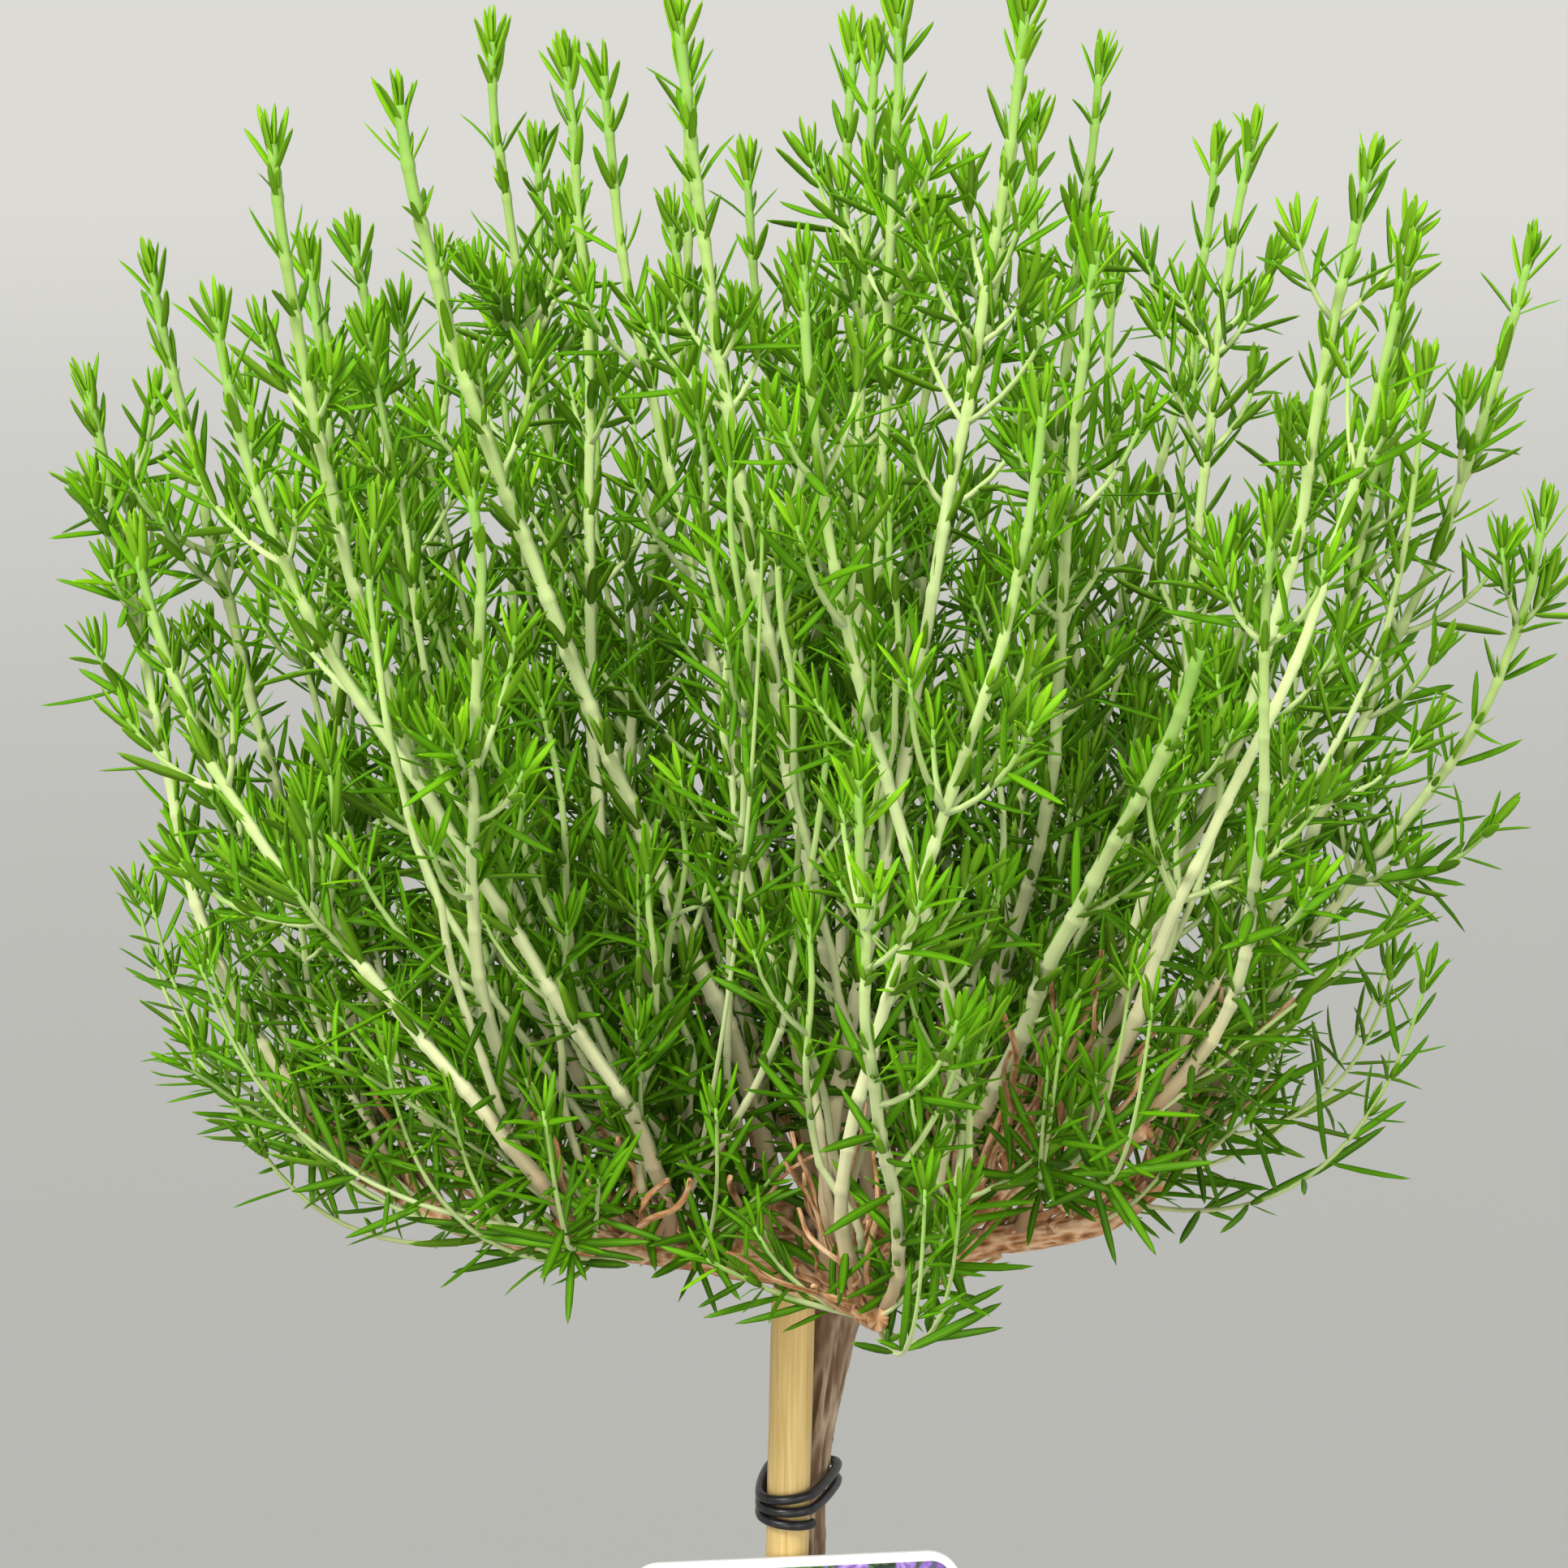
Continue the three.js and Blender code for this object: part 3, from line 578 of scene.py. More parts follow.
# points, quads, tip triangles and base of one leaf, with the map of every corner: the corners
# before the last run over the upper face, and the last stands under it
def leafTemplate(form):
    rows, ring = len(form["rows"]), len(form["across"])
    x = form["halfWidth"][:, None] * form["across"][None]
    z = form["halfWidth"][:, None] * form["rise"][None]
    y = np.repeat(form["rows"][:, None], ring, 1)
    points = np.vstack([np.stack([x, y, z], -1).reshape(-1, 3), [[0, 1.0, 0.1]]])
    r, c = (g.ravel() for g in np.meshgrid(np.arange(rows - 1), np.arange(ring), indexing="ij"))
    c1 = (c + 1) % ring
    quads = np.stack([r * ring + c, (r + 1) * ring + c, (r + 1) * ring + c1, r * ring + c1], -1)
    overU = (form["across"] + 1) / 2
    nextU = np.roll(overU, -1)
    v = np.append(form["rows"], 1.0)
    under = (np.arange(ring) >= ring - 2) * 0.5

    def mapped(u, row, col):
        return np.stack([u, 0.02 + 0.46 * v[row] + under[col]], -1)

    turns = ((overU, r), (overU, r + 1), (nextU, r + 1), (nextU, r))
    quadUv = np.stack([mapped(u[c], row, c) for u, row in turns], 1)
    c = np.arange(ring)
    last = np.full(ring, rows - 1)
    fans = np.stack([last * ring + c, np.full(ring, rows * ring), last * ring + (c + 1) % ring], 1)
    tipU = (overU + nextU) / 2
    fanUv = np.stack([mapped(overU, last, c), mapped(tipU, last + 1, c), mapped(nextU, last, c)], 1)
    turn = np.linspace(0, 2 * np.pi, ring, endpoint=False)
    baseUv = np.stack([0.5 + 0.3 * np.cos(turn), 0.53 + 0.01 * np.sin(turn)], 1)
    return points, [quads, fans, np.arange(ring)[None]], [quadUv.reshape(-1, 2), fanUv.reshape(-1, 2), baseUv]


leafTemplates = [leafTemplate(leafForm), leafTemplate(smallForm)]


# Room in front of the thick posed shoots, seen from the front and a little above: a place is in the
# way if it is nearer than such a shoot and, across the view, within the clearing of its line.
clearing = {"view": 12.0, "width": 4.2, "ahead": 2.5}


def acrossView(points):
    a = math.radians(clearing["view"])
    x, y, z = points[..., 0], points[..., 1], points[..., 2]
    return np.stack([x, z * math.cos(a) + y * math.sin(a)], -1), y * math.cos(a) - z * math.sin(a)


shownShoots = np.vstack([shootLine(n - 1)[8:] for n in posed if "girth" in posed[n]])
shownPlace, shownDepth = acrossView(shownShoots)


def inTheWay(points, width=clearing["width"]):
    place, depth = acrossView(np.asarray(points, float))
    apart = np.linalg.norm(place[:, None] - shownPlace[None], axis=2)
    return ((apart < width) & (depth[:, None] < shownDepth[None] - clearing["ahead"])).any(1)


# how far below the knot a leaf may end, and how much higher for each millimetre further out
skirt = {"drop": 6.0, "rise": 0.22}


# every leaf of a piece at once: each template point goes across, along and above its own leaf,
# and the blade bends with the square of the distance along it
def leafPiece(name, leaves):
    keys = ("at", "heading", "above", "length", "width", "bend", "tintAndShade", "small", "kept")
    every = {key: np.concatenate([l[key] for l in leaves]) for key in keys}
    middle = every["at"] + every["heading"] * every["length"][:, None] * 0.55
    tip = every["at"] + every["heading"] * every["length"][:, None]
    lowest = crownBase - skirt["drop"] + skirt["rise"] * np.hypot(*(tip - head)[:, :2].T)
    seen = (tip[:, 2] > lowest) & (every["kept"] | ~(inTheWay(every["at"]) | inTheWay(middle)))
    every = {key: value[seen] for key, value in every.items()}
    made, count = [], 0
    for kind, (p, faces, maps) in enumerate(leafTemplates):
        mine = every["small"] == kind
        at, heading, above, length, width, bend, tintAndShade = (every[key][mine] for key in keys[:7])
        side = np.cross(heading, above)
        x = (p[:, 0] * width[:, None] / 2)[..., None] * side[:, None]
        y = (p[:, 1] * length[:, None])[..., None] * heading[:, None]
        lift = p[:, 2] * width[:, None] / 2 * 0.45 + p[:, 1] ** 2 * (bend * length)[:, None]
        points = (at[:, None] + x + y + lift[..., None] * above[:, None]).reshape(-1, 3)
        shift = count + (np.arange(len(at)) * len(p))[:, None, None]
        count += len(points)
        cell = np.clip(np.round(tintAndShade * (leafTintAndShadeCells - 1)), 0, leafTintAndShadeCells - 1)
        for face, uv in zip(faces, maps):
            uv = np.repeat(uv[None], len(at), 0)
            uv[..., 0] = (cell[:, None] + 0.04 + 0.92 * uv[..., 0]) / leafTintAndShadeCells
            made.append((points, (face[None] + shift).reshape(-1, face.shape[1]), uv.reshape(-1, 2)))
            points = points[:0]
    print(f"{name}: {len(every['at'])} leaves")
    faces, uv = [m[1] for m in made], np.vstack([m[2] for m in made])
    newPiece(name, np.vstack([m[0] for m in made]), faces, leafMaterial, uv=uv)


# Each kind of stem: along it from foot to tip the length of its leaves and the angle that they
# stand off the stem, then the gap between leaf pairs in millimetres, the share of pairs that hold
# smaller leaves in their angles, and the share of the stem that is bare at its foot.
leafing = {
    "shoot": {"length": (18, 21, 18, 14, 11), "angle": (80, 60, 48, 39, 32)},
    "filler": {"length": (18, 22, 20, 15, 11), "angle": (84, 68, 56, 44, 34)},
    "side": {"length": (12, 16, 16, 13, 10), "angle": (62, 56, 48, 40, 32)},
    "spray": {"length": (13, 20, 19, 14, 10), "angle": (72, 66, 56, 46, 36)},
}
leafing["shoot"].update(gap=12.5, axils=0.8, bare=0.06)
leafing["filler"].update(gap=10.5, axils=0.45, bare=0.05)
leafing["side"].update(gap=8.0, axils=0.2, bare=0.2)
leafing["spray"].update(gap=9.5, axils=0.2, bare=0.15)
leafSize = {"wide": 0.95, "widening": 0.072, "tuftPairs": 4, "tuftStep": 1.9, "curl": 0.13}


# how much light a place in the crown gets, from 0 deep inside to 1 at its top and rim; the leaves' tint
# follows it, painting shade into the leaves deep inside and light into those at the top and rim
def openness(at):
    radius = np.linalg.norm((at - head)[:, :2], axis=1) / 165
    rise = (at[:, 2] - crownBase) / 290
    return np.clip(0.55 * np.maximum(radius, rise) + 0.40 * rise + 0.10, 0, 1)


# leaves that leave one line at the same moment, with their lean, roll, bend and tint scattered, the tint
# carrying painted shade
def leafRow(at, heading, out, lean, length, tintAndShade, small, thin=1.0, kept=False):
    count = len(at)
    lean = np.radians(np.clip(lean, 3, 110))[:, None]
    direction = heading * np.cos(lean) + out * np.sin(lean)
    above = heading * np.sin(lean) - out * np.cos(lean)
    roll = rng.normal(0, 0.2, count)[:, None]
    wide = leafSize["wide"] + leafSize["widening"] * length
    return {
        "at": at + out * 0.5,
        "heading": direction,
        "above": above * np.cos(roll) + np.cross(direction, above) * np.sin(roll),
        "length": length,
        "width": wide * rng.uniform(0.88, 1.14, count) * thin,
        "bend": rng.normal(-0.04, leafSize["curl"], count),
        "tintAndShade": np.clip(tintAndShade + rng.normal(0, 0.08, count), 0.07, 1),
        "small": np.full(count, small),
        "kept": np.full(count, kept),
    }


# Leaves of one stem: pairs stand on opposite sides, each pair a quarter turn from the last, flat
# low down and steep near the tip, with small leaves in their angles and a closed tuft at the top.
# It gives the rows of leaves and the shares of the line at which the pairs stand.
def leavesOn(line, kind, size=1.0, thin=1.0, kept=False):
    rule = leafing[kind]
    length = lengthOf(line)
    pairs = max(2, round(length * (1 - rule["bare"]) / (rule["gap"] * size)))
    shares = lerp(rule["bare"], 1 - 7 * size / length, (np.arange(pairs) + 0.5) / pairs)
    shares = np.clip(shares + rng.uniform(-0.22, 0.22, pairs) / pairs, 0.02, 0.985)
    places = np.linspace(0, 1, 5)
    profile = np.interp(shares, places, rule["length"]) * size
    angle = np.interp(shares, places, rule["angle"]) + rng.normal(0, 9, pairs)
    at, heading = alongLine(line, shares)
    side, cross = besideLine(heading)
    quarter = (np.arange(pairs) % 2) * np.pi / 2 + rng.normal(0, 0.16, pairs) + rng.uniform(0, np.pi)
    # painted shade: the tint is darker deep in the crown and lighter at its top and rim; it also rises up the
    # stem
    tintAndShade = 0.16 + 0.55 * openness(at) + 0.14 * shares
    found = []
    for half in (0, np.pi):
        a = quarter + half + rng.normal(0, 0.08, pairs)
        out = swing(side, cross, a)
        long = profile * rng.uniform(0.74, 1.22, pairs)
        found.append(leafRow(at, heading, out, angle + rng.normal(0, 8, pairs), long, tintAndShade, 0, thin, kept))
        keep = rng.random(pairs) < rule["axils"]
        if not keep.any():
            continue
        for turn in (-0.55, 0.55):
            b = a[keep] + turn * rng.uniform(0.5, 1.5, keep.sum())
            near = swing(side[keep], cross[keep], b)
            lean = angle[keep] * rng.uniform(0.35, 0.75, keep.sum())
            short = long[keep] * rng.uniform(0.38, 0.74, keep.sum())
            foot = at[keep] + heading[keep] * 0.8
            found.append(leafRow(foot, heading[keep], near, lean, short, tintAndShade[keep] + 0.12, 1, thin, kept))
    # the tuft
    slight = kind in ("side", "spray")
    count = leafSize["tuftPairs"] - slight
    step = np.arange(count)
    at, heading = alongLine(line, 1 - (0.3 + step * leafSize["tuftStep"] * size) / length)
    side, cross = besideLine(heading)
    for half in (0, np.pi):
        a = (step % 2) * np.pi / 2 + half + rng.normal(0, 0.12, count) + 0.4
        out = swing(side, cross, a)
        long = lerp(8.5, 12.5, step / (count - 1)) * size**0.5 * rng.uniform(0.88, 1.12, count)
        lean = lerp(7, 27, step / (count - 1)) * (1 + 0.5 * slight) + rng.normal(0, 5, count)
        # painted shade: the tuft's tint is darker deep in the crown and lighter at its top and rim
        tintAndShade = 0.45 + 0.5 * openness(at)
        found.append(leafRow(at - out * 0.3, heading, out, lean, long, tintAndShade, 0, 1.05 * thin, True))
    return found, shares


# stems

# A stem: a tube with four soft ridges, swollen in a short hump at each pair of leaves, thinning upwards.
def stemTube(line, thick, thin, youngFrom, youngTo, sides=8, spacing=4.5, joints=None):
    length = lengthOf(line)
    rings = max(5, int(length / spacing))
    shares = np.linspace(0, 1, rings)
    swelling = np.ones(rings)
    if joints is not None:
        steps = np.array([-1.6, -0.5, 0.5, 1.6]) / length
        shares = np.unique(np.concatenate([shares, (joints[:, None] + steps).ravel()]).clip(0, 1))
        away = np.abs(shares[:, None] - joints[None]).min(1) * length
        swelling = 1 + 0.2 * np.exp(-((away / 1.1) ** 2))
    at, heading = alongLine(line, shares)
    side, cross = besideLine(heading)
    a = np.linspace(0, 2 * np.pi, sides, endpoint=False)
    radius = lerp(thick, thin, shares**0.8) / 2
    radii = (radius * swelling)[:, None] * (1 + 0.10 * np.cos(4 * a)[None])
    return tube(at, side, cross, radii, lerp(youngFrom, youngTo, shares))


shootStyle = {
    "thick": 3.4,
    "thin": 2.0,
    "sidePairs": (3, 4, 5, 5, 4, 4, 4, 3, 4),
    "sideLength": (15.0, 42.0),
    "sideShares": (0.28, 0.86),
    "fillers": (5, 9, 14, 15, 13, 12, 10, 7),
    "sprays": 3,
    "rimSprays": 5,
    "arcs": (5, 5, 4, 6, 8, 6, 2, 4),
    "sway": 0.9,
}
roomLow, roomHigh = (np.array(c) / mm for c in (cadLow, cadHigh))


# a line drawn in towards its own start until its end is inside the frame's box
def keptInside(line, margin=3.0):
    reach = line[-1] - line[0]
    room = np.where(reach > 0, roomHigh - margin - line[0], line[0] - roomLow - margin)
    share = np.min(np.where(np.abs(reach) > 1e-6, room / np.maximum(np.abs(reach), 1e-6), 1.0))
    return line[0] + (line - line[0]) * np.clip(share, 0.2, 1.0)


# the side shoots of a long shoot: they leave in pairs, well out from it, and turn up along it
def sideShootsOf(line, pairs, longest=1.0):
    made = []
    for share in np.sort(rng.uniform(*shootStyle["sideShares"], pairs)):
        at, heading = alongLine(line, [share])
        side, cross = besideLine(heading)
        azimuth = rng.uniform(0, 2 * np.pi)
        for a in (azimuth, azimuth + np.pi):
            out = side[0] * math.cos(a) + cross[0] * math.sin(a)
            length = rng.uniform(*shootStyle["sideLength"]) * longest * lerp(1.25, 0.7, share)
            d0 = unit(heading[0] * 0.75 + out)
            d1 = unit(up * 0.6 + heading[0] * 0.8 + out * 0.35)
            made.append(keptInside(bentLine(at[0], d0, d1, length, 10)))
    return made


# a line swayed a little from side to side by two slow waves, with slight bends between straight
# stretches, and left where it is at its own foot
def swayed(line, amount):
    share = np.linspace(0, 1, len(line))
    phase, rate = rng.uniform(0, 2 * np.pi, 2), rng.uniform(7, 13, 2)
    waves = [np.sin(rate[i] * share + phase[i]) - np.sin(phase[i]) for i in range(2)]
    knees = np.linspace(0, 1, max(3, round(lengthOf(line) / 13)))
    kinks = rng.normal(0, 0.45, (2, len(knees)))
    kinks[:, 0] = 0
    bends = [np.interp(share, knees, k) for k in kinks]
    return line + np.stack([waves[0] + bends[0], waves[1] + bends[1], 0 * share], 1) * amount


# whether most of a line stands clear of the posed shoots
def isOpen(line):
    return inTheWay(line[:: max(1, len(line) // 12)], 2.0).mean() < 0.2


def shootGroup(label, mains, fillers, sprays, nodes):
    stems, leaves = [], []
    for line, girth, shown in mains:
        line = swayed(line, shootStyle["sway"])
        base = line[0] - unit(line[1] - line[0]) * 1.5
        rows, joints = leavesOn(line, "shoot", kept=shown)
        leaves += rows
        thick, thin = shootStyle["thick"] * girth, shootStyle["thin"] * girth
        stems.append(stemTube(np.vstack([base, line]), thick, thin, 0.08, 0.97, joints=joints))
        for twig in filter(isOpen, sideShootsOf(line, shootStyle["sidePairs"][label - 1])):
            stems.append(stemTube(twig, 1.6, 1.0, 0.55, 0.98, 6))
            leaves += leavesOn(twig, "side", 0.95)[0]
    for line in filter(isOpen, fillers):
        line = swayed(line, 2 * shootStyle["sway"])
        rows, joints = leavesOn(line, "filler")
        leaves += rows
        stems.append(stemTube(line, 2.0, 1.3, 0.05, 0.97, 6, joints=joints))
        for twig in filter(isOpen, sideShootsOf(line, 1, 0.9)):
            stems.append(stemTube(twig, 1.3, 0.8, 0.55, 0.98, 6, 6))
            leaves += leavesOn(twig, "side", 0.85)[0]
    for line in filter(isOpen, sprays):
        stems.append(stemTube(line, 1.3, 0.8, 0.36, 0.95, 6, 5))
        leaves += leavesOn(line, "spray", 0.95, 0.85)[0]
    points, faces, uv = together(stems)
    newPiece(f"stems_{label}", points, faces, stemMaterial, nodes, uv)
    leafPiece(f"leaves_{label}", leaves)


# shorter shoots that fill the crown between the long ones, rooted along the branch
def fillersOf(k, count):
    made = []
    line = branchLine(k)
    for share in rng.uniform(0.1, 1.0, count):
        at, heading = placeOn(line, share)
        aside = unit(np.cross(heading, up)) * rng.uniform(-1.0, 1.0)
        d0 = unit(heading * rng.uniform(0.0, 1.2) + aside + up * rng.uniform(0.5, 1.4))
        d1 = unit(up * 1.5 + aside * 0.2 + heading * rng.uniform(0.0, 0.3))
        length = rng.uniform(90, 250) * lerp(1.0, 0.78, share)
        made.append(keptInside(bentLine(at + up * branchRadius(share) * 0.5, d0, d1, length, 24)))
    return made


# short leafy sprays off a branch: low ones near level, and thin open ones round the rim
def spraysOf(k, count, shareFrom, rise, length):
    made = []
    line = branchLine(k)
    for share in rng.uniform(shareFrom, 1.0, count):
        at, heading = placeOn(line, share)
        aside = unit(np.cross(heading, up)) * rng.uniform(-1.5, 1.5)
        d0 = unit(heading * rng.uniform(0.7, 1.4) + aside + up * rng.uniform(*rise))
        d1 = unit(d0 * [1, 1, 0] * 0.7 + up * rng.uniform(0.3, 1.6))
        made.append(keptInside(bentLine(at, d0, d1, rng.uniform(*length), 14)))
    return made


# long thin twigs off the outer half of a branch, level at first and then turning up
def arcsOf(k, count):
    made = []
    line = branchLine(k)
    for share in rng.uniform(0.5, 1.0, count):
        at, heading = placeOn(line, share)
        heading = heading * [1, 1, 0]
        aside = unit(np.cross(heading, up)) * rng.uniform(-1.1, 1.1)
        d0 = unit(heading + aside + up * rng.uniform(-0.12, 0.25))
        d1 = unit(heading * 0.25 + aside * 0.1 + up * rng.uniform(0.8, 1.6))
        made.append(keptInside(bentLine(at, d0, d1, rng.uniform(80, 150), 24)))
    return made


for k in range(branchCount):
    numbers = range(5 * k + 1, 5 * k + 6)
    owns = [posed.get(n, {}) for n in numbers]
    mains = [(shootLine(n - 1), own.get("girth", 1.0), "girth" in own) for n, own in zip(numbers, owns)]
    sprays = spraysOf(k, shootStyle["sprays"], 0.25, (0.1, 0.7), (24, 60))
    sprays += spraysOf(k, shootStyle["rimSprays"], 0.75, (0.1, 0.9), (40, 90))
    sprays += arcsOf(k, shootStyle["arcs"][k])
    shootGroup(k + 1, mains, fillersOf(k, shootStyle["fillers"][k]), sprays, [f"shoot_{n}" for n in numbers])
mains = [(shootLine(n), 1.0, False) for n in (40, 41, 42)]
shootGroup(9, mains, fillersOf(1, 3), fillersOf(5, 2), ["shoot_41", "shoot_42", "shoot_43"])
print("shoots and leaves made")


# Woody branches: a tube whose radius carries knots and flaking strips, with thin dead twigs.
branchStyle = {"sides": 32, "rings": 130, "twigs": 24, "knots": 0.10, "strips": 0.16}


def woodTube(line, radius, sides, rings, seed):
    shares = np.linspace(0, 1, rings)
    at, heading = alongLine(line, shares)
    side, cross = besideLine(heading, (0.1, 0.2, 1.0))
    u = np.linspace(0, 1, sides, endpoint=False)[None].repeat(rings, 0)
    v = shares[:, None].repeat(sides, 1)
    lumps = latticeNoise(u, v, 4, 9, seed) - 0.5
    flakes = 1 - np.abs(2 * latticeNoise(u, v, sides // 2, 22, seed + 1) - 1)
    relief = 2 * branchStyle["knots"] * lumps + branchStyle["strips"] * (flakes - 0.5)
    radii = radius(shares)[:, None] * (1 + relief)
    fine = latticeNoise(u, v, sides, 70, seed + 2)
    return withReliefShade(tube(at, side, cross, radii, shares), 0.62 * flakes + 0.3 * fine + 0.25 * lumps)


for k in range(branchCount):
    line = branchLine(k)
    start = line[0] - unit(line[1] - line[0]) * 1.2
    whole = np.vstack([start, line])
    parts = [woodTube(whole, branchRadius, branchStyle["sides"], branchStyle["rings"], 100 + k)]
    for t in range(branchStyle["twigs"]):
        share = rng.uniform(0.15, 0.95)
        at, heading = placeOn(line, share)
        side = unit(np.cross(heading, up))
        d0 = unit(heading * rng.uniform(0.1, 1) + side * rng.uniform(-0.9, 0.9) + up * rng.uniform(0.2, 1.4))
        d1 = unit(d0 + 0.3 * side * rng.uniform(-1, 1) + up * rng.uniform(0, 0.3))
        thick = rng.uniform(0.5, 1.1)
        twig = swayed(bentLine(at, d0, d1, rng.uniform(16, 60), 14), 1.2)
        parts.append(woodTube(twig, lambda s, thick=thick: thick * (1 - 0.45 * s), 8, 16, 300 + 10 * k + t))
    barkPiece(f"wood_{k + 1}", parts, woodMaterial, f"branch_{k + 1}")
print("branches made")


# The trunk: a tube lumped by slow waves round and up it, then torn into long strips of bark, each
# strip raised by ridged noise that changes fast round the trunk and slowly along it.
trunkStyle = {"sides": 120, "rings": 460, "stripDepth": 1.0, "crackDepth": 0.7}


# a buried root's line, from inside the trunk's foot outwards and down
def rootLine(i):
    azimuth = math.radians(110 * i - 40 + 12 * spread(i, 91))
    out = np.array([math.cos(azimuth), math.sin(azimuth), 0.0])
    foot = np.array([2.0, 10.5, soilTop - 22 - 6 * i])
    return smoothLine([foot, foot + out * 24 - up * 11.2, foot + out * (40 + 3 * i) - up * 56])


def makeTrunk():
    shares = np.linspace(0, 1, trunkStyle["rings"])
    at, heading = alongLine(trunkLine, shares)
    side, cross = besideLine(heading, (0.2, -0.98, 0.1))
    u = np.linspace(0, 1, trunkStyle["sides"], endpoint=False)[None].repeat(len(shares), 0)
    v = shares[:, None].repeat(trunkStyle["sides"], 1)
    angle = 2 * np.pi * u
    waves = np.sin(3 * angle + 31 * v) + 0.6 * np.sin(5 * angle - 44 * v)
    wander = u + 0.05 * latticeNoise(u, v, 3, 12, 5)
    strips = latticeNoise(wander, v, 13, 16, 6)
    strands = 1 - np.abs(2 * latticeNoise(wander, v, 30, 30, 7) - 1)
    frayed = latticeNoise(wander, v, 44, 120, 8)
    girth = trunkGirth(at[:, 2])[:, None]
    radii = girth * (1 + trunkSize["lump"] * waves) + trunkStyle["stripDepth"] * (strips - 0.55)
    radii = radii + trunkStyle["crackDepth"] * (strands**1.5 - 0.5) + 0.35 * (frayed - 0.5)
    grain = 0.42 * strands**1.5 + 0.33 * strips + 0.3 * frayed
    parts = [withReliefShade(tube(at, side, cross, radii, shares), grain)]
    for i in range(3):
        parts.append(woodTube(rootLine(i), lambda share: lerp(4.6, 1.8, share), 14, 40, 40 + i))
    barkPiece("trunk_bark", parts, trunkMaterial, "trunk")


makeTrunk()
print("trunk made")


# The cane: a tube with a raised ring and a groove at each joint, a faint flat between joints,
# and a hollow cut top.
caneStyle = {"sides": 48, "firstJoint": 104.0, "jointPitch": 122.0, "boreRadius": 2.6, "boreDepth": 14.0}


def caneLook():
    look = Look("bamboo", 0.38, specular=0.45, coat=0.08)
    where = look.onPiece()
    grain = look.noise(look.stretched(where, (1, 1, 0.03)), 900.0, 5.0, 0.6)
    cloud = look.noise(look.stretched(where, (1, 1, 0.25)), 70.0, 3.0)
    body = look.ramp(grain, [(0.3, (0.54, 0.36, 0.11)), (0.5, (0.70, 0.50, 0.18)), (0.7, (0.80, 0.62, 0.28))])
    body = look.mix(look.times(cloud, 0.35), body, (0.60, 0.38, 0.12))
    pitch = caneStyle["jointPitch"] * mm
    first = (caneSize["bottom"] + caneStyle["firstJoint"]) * mm
    climb = look.less(look.axes(where)["Z"], first - 0.5 * pitch)
    cycle = look.math("FRACT", look.math("DIVIDE", climb, pitch))
    near = look.math("ABSOLUTE", look.less(cycle, 0.5))
    scar = look.ramp(near, [(0.0, 1.0), (0.008, 0.85), (0.02, 0.25), (0.06, 0.0)])
    body = look.mix(look.times(scar, 0.8), body, (0.24, 0.12, 0.035))
    return look.wear(Base_Color=body, Normal=look.bump(grain, 0.18, 0.25))


def makeCane():
    length = caneSize["length"]
    foot = caneAt(caneSize["bottom"])
    lean = math.radians(caneSize["lean"])
    axis = np.array([math.sin(lean), 0.0, math.cos(lean)])
    joints = np.arange(caneStyle["firstJoint"], length - 40, caneStyle["jointPitch"])
    z = np.concatenate([np.linspace(0, length, 160)] + [j + np.linspace(-5, 5, 26) for j in joints])
    z = np.unique(z)
    radius = caneSize["radius"] - 0.5 * np.exp(-z / 0.6)
    for j in joints:
        radius += 0.5 * np.exp(-(((z - j + 0.7) / 0.9) ** 2)) - 0.35 * np.exp(-(((z - j - 0.7) / 0.6) ** 2))
    radius -= 0.45 * np.exp(-(length - z) / 0.35)
    # down the bore: back along the axis at the bore's radius
    boreZ = np.array([length, length - 0.3, length - caneStyle["boreDepth"]])
    boreRadius = np.array([caneStyle["boreRadius"] + 0.3, caneStyle["boreRadius"], caneStyle["boreRadius"]])
    z = np.concatenate([z, boreZ])
    radius = np.concatenate([radius, boreRadius])
    a = np.linspace(0, 2 * np.pi, caneStyle["sides"], endpoint=False)
    oval = 1 + 0.012 * np.cos(2 * a)[None] * np.sin(z / 60)[:, None]
    line = foot + z[:, None] * axis
    heading = np.repeat(axis[None], len(z), 0)
    side, cross = besideLine(heading, (1.0, 0.0, 0.0))
    points, faces, _ = together([tube(line, side, cross, radius[:, None] * oval, z / length)])
    newPiece("cane_bamboo", points, faces, caneLook(), ["bamboo_cane"], sharpAbove=50)


makeCane()
print("cane made")


# Ties: a cord carried round the outside of cane and trunk, turn on turn.
tieStyle = {"wire": 1.15, "turns": 2.75, "pitch": 3.1, "gap": 0.5, "slope": 0.1, "fan": 0.22}


def cordLook():
    look = Look("black_cord", 0.34, specular=0.5)
    grain = look.noise(look.onPiece(), 700.0, 3.0)
    body = look.ramp(grain, [(0.35, (0.006, 0.006, 0.007)), (0.75, (0.022, 0.022, 0.025))])
    return look.wear(Base_Color=body, Normal=look.bump(grain, 0.2, 0.12))


cordMaterial = cordLook()


def trunkAt(z):
    order = np.argsort(trunkLine[:, 2])
    x = np.interp(z, trunkLine[order, 2], trunkLine[order, 0])
    y = np.interp(z, trunkLine[order, 2], trunkLine[order, 1])
    return np.array([x, y, z]), float(trunkGirth(z)) * (1 + 1.6 * trunkSize["lump"])


def wrapPoint(bars, angle, offset):
    out = np.array([math.cos(angle), math.sin(angle), 0.0])
    at, radius = max(bars, key=lambda bar: bar[0] @ out + bar[1])
    return at + out * (radius + offset)


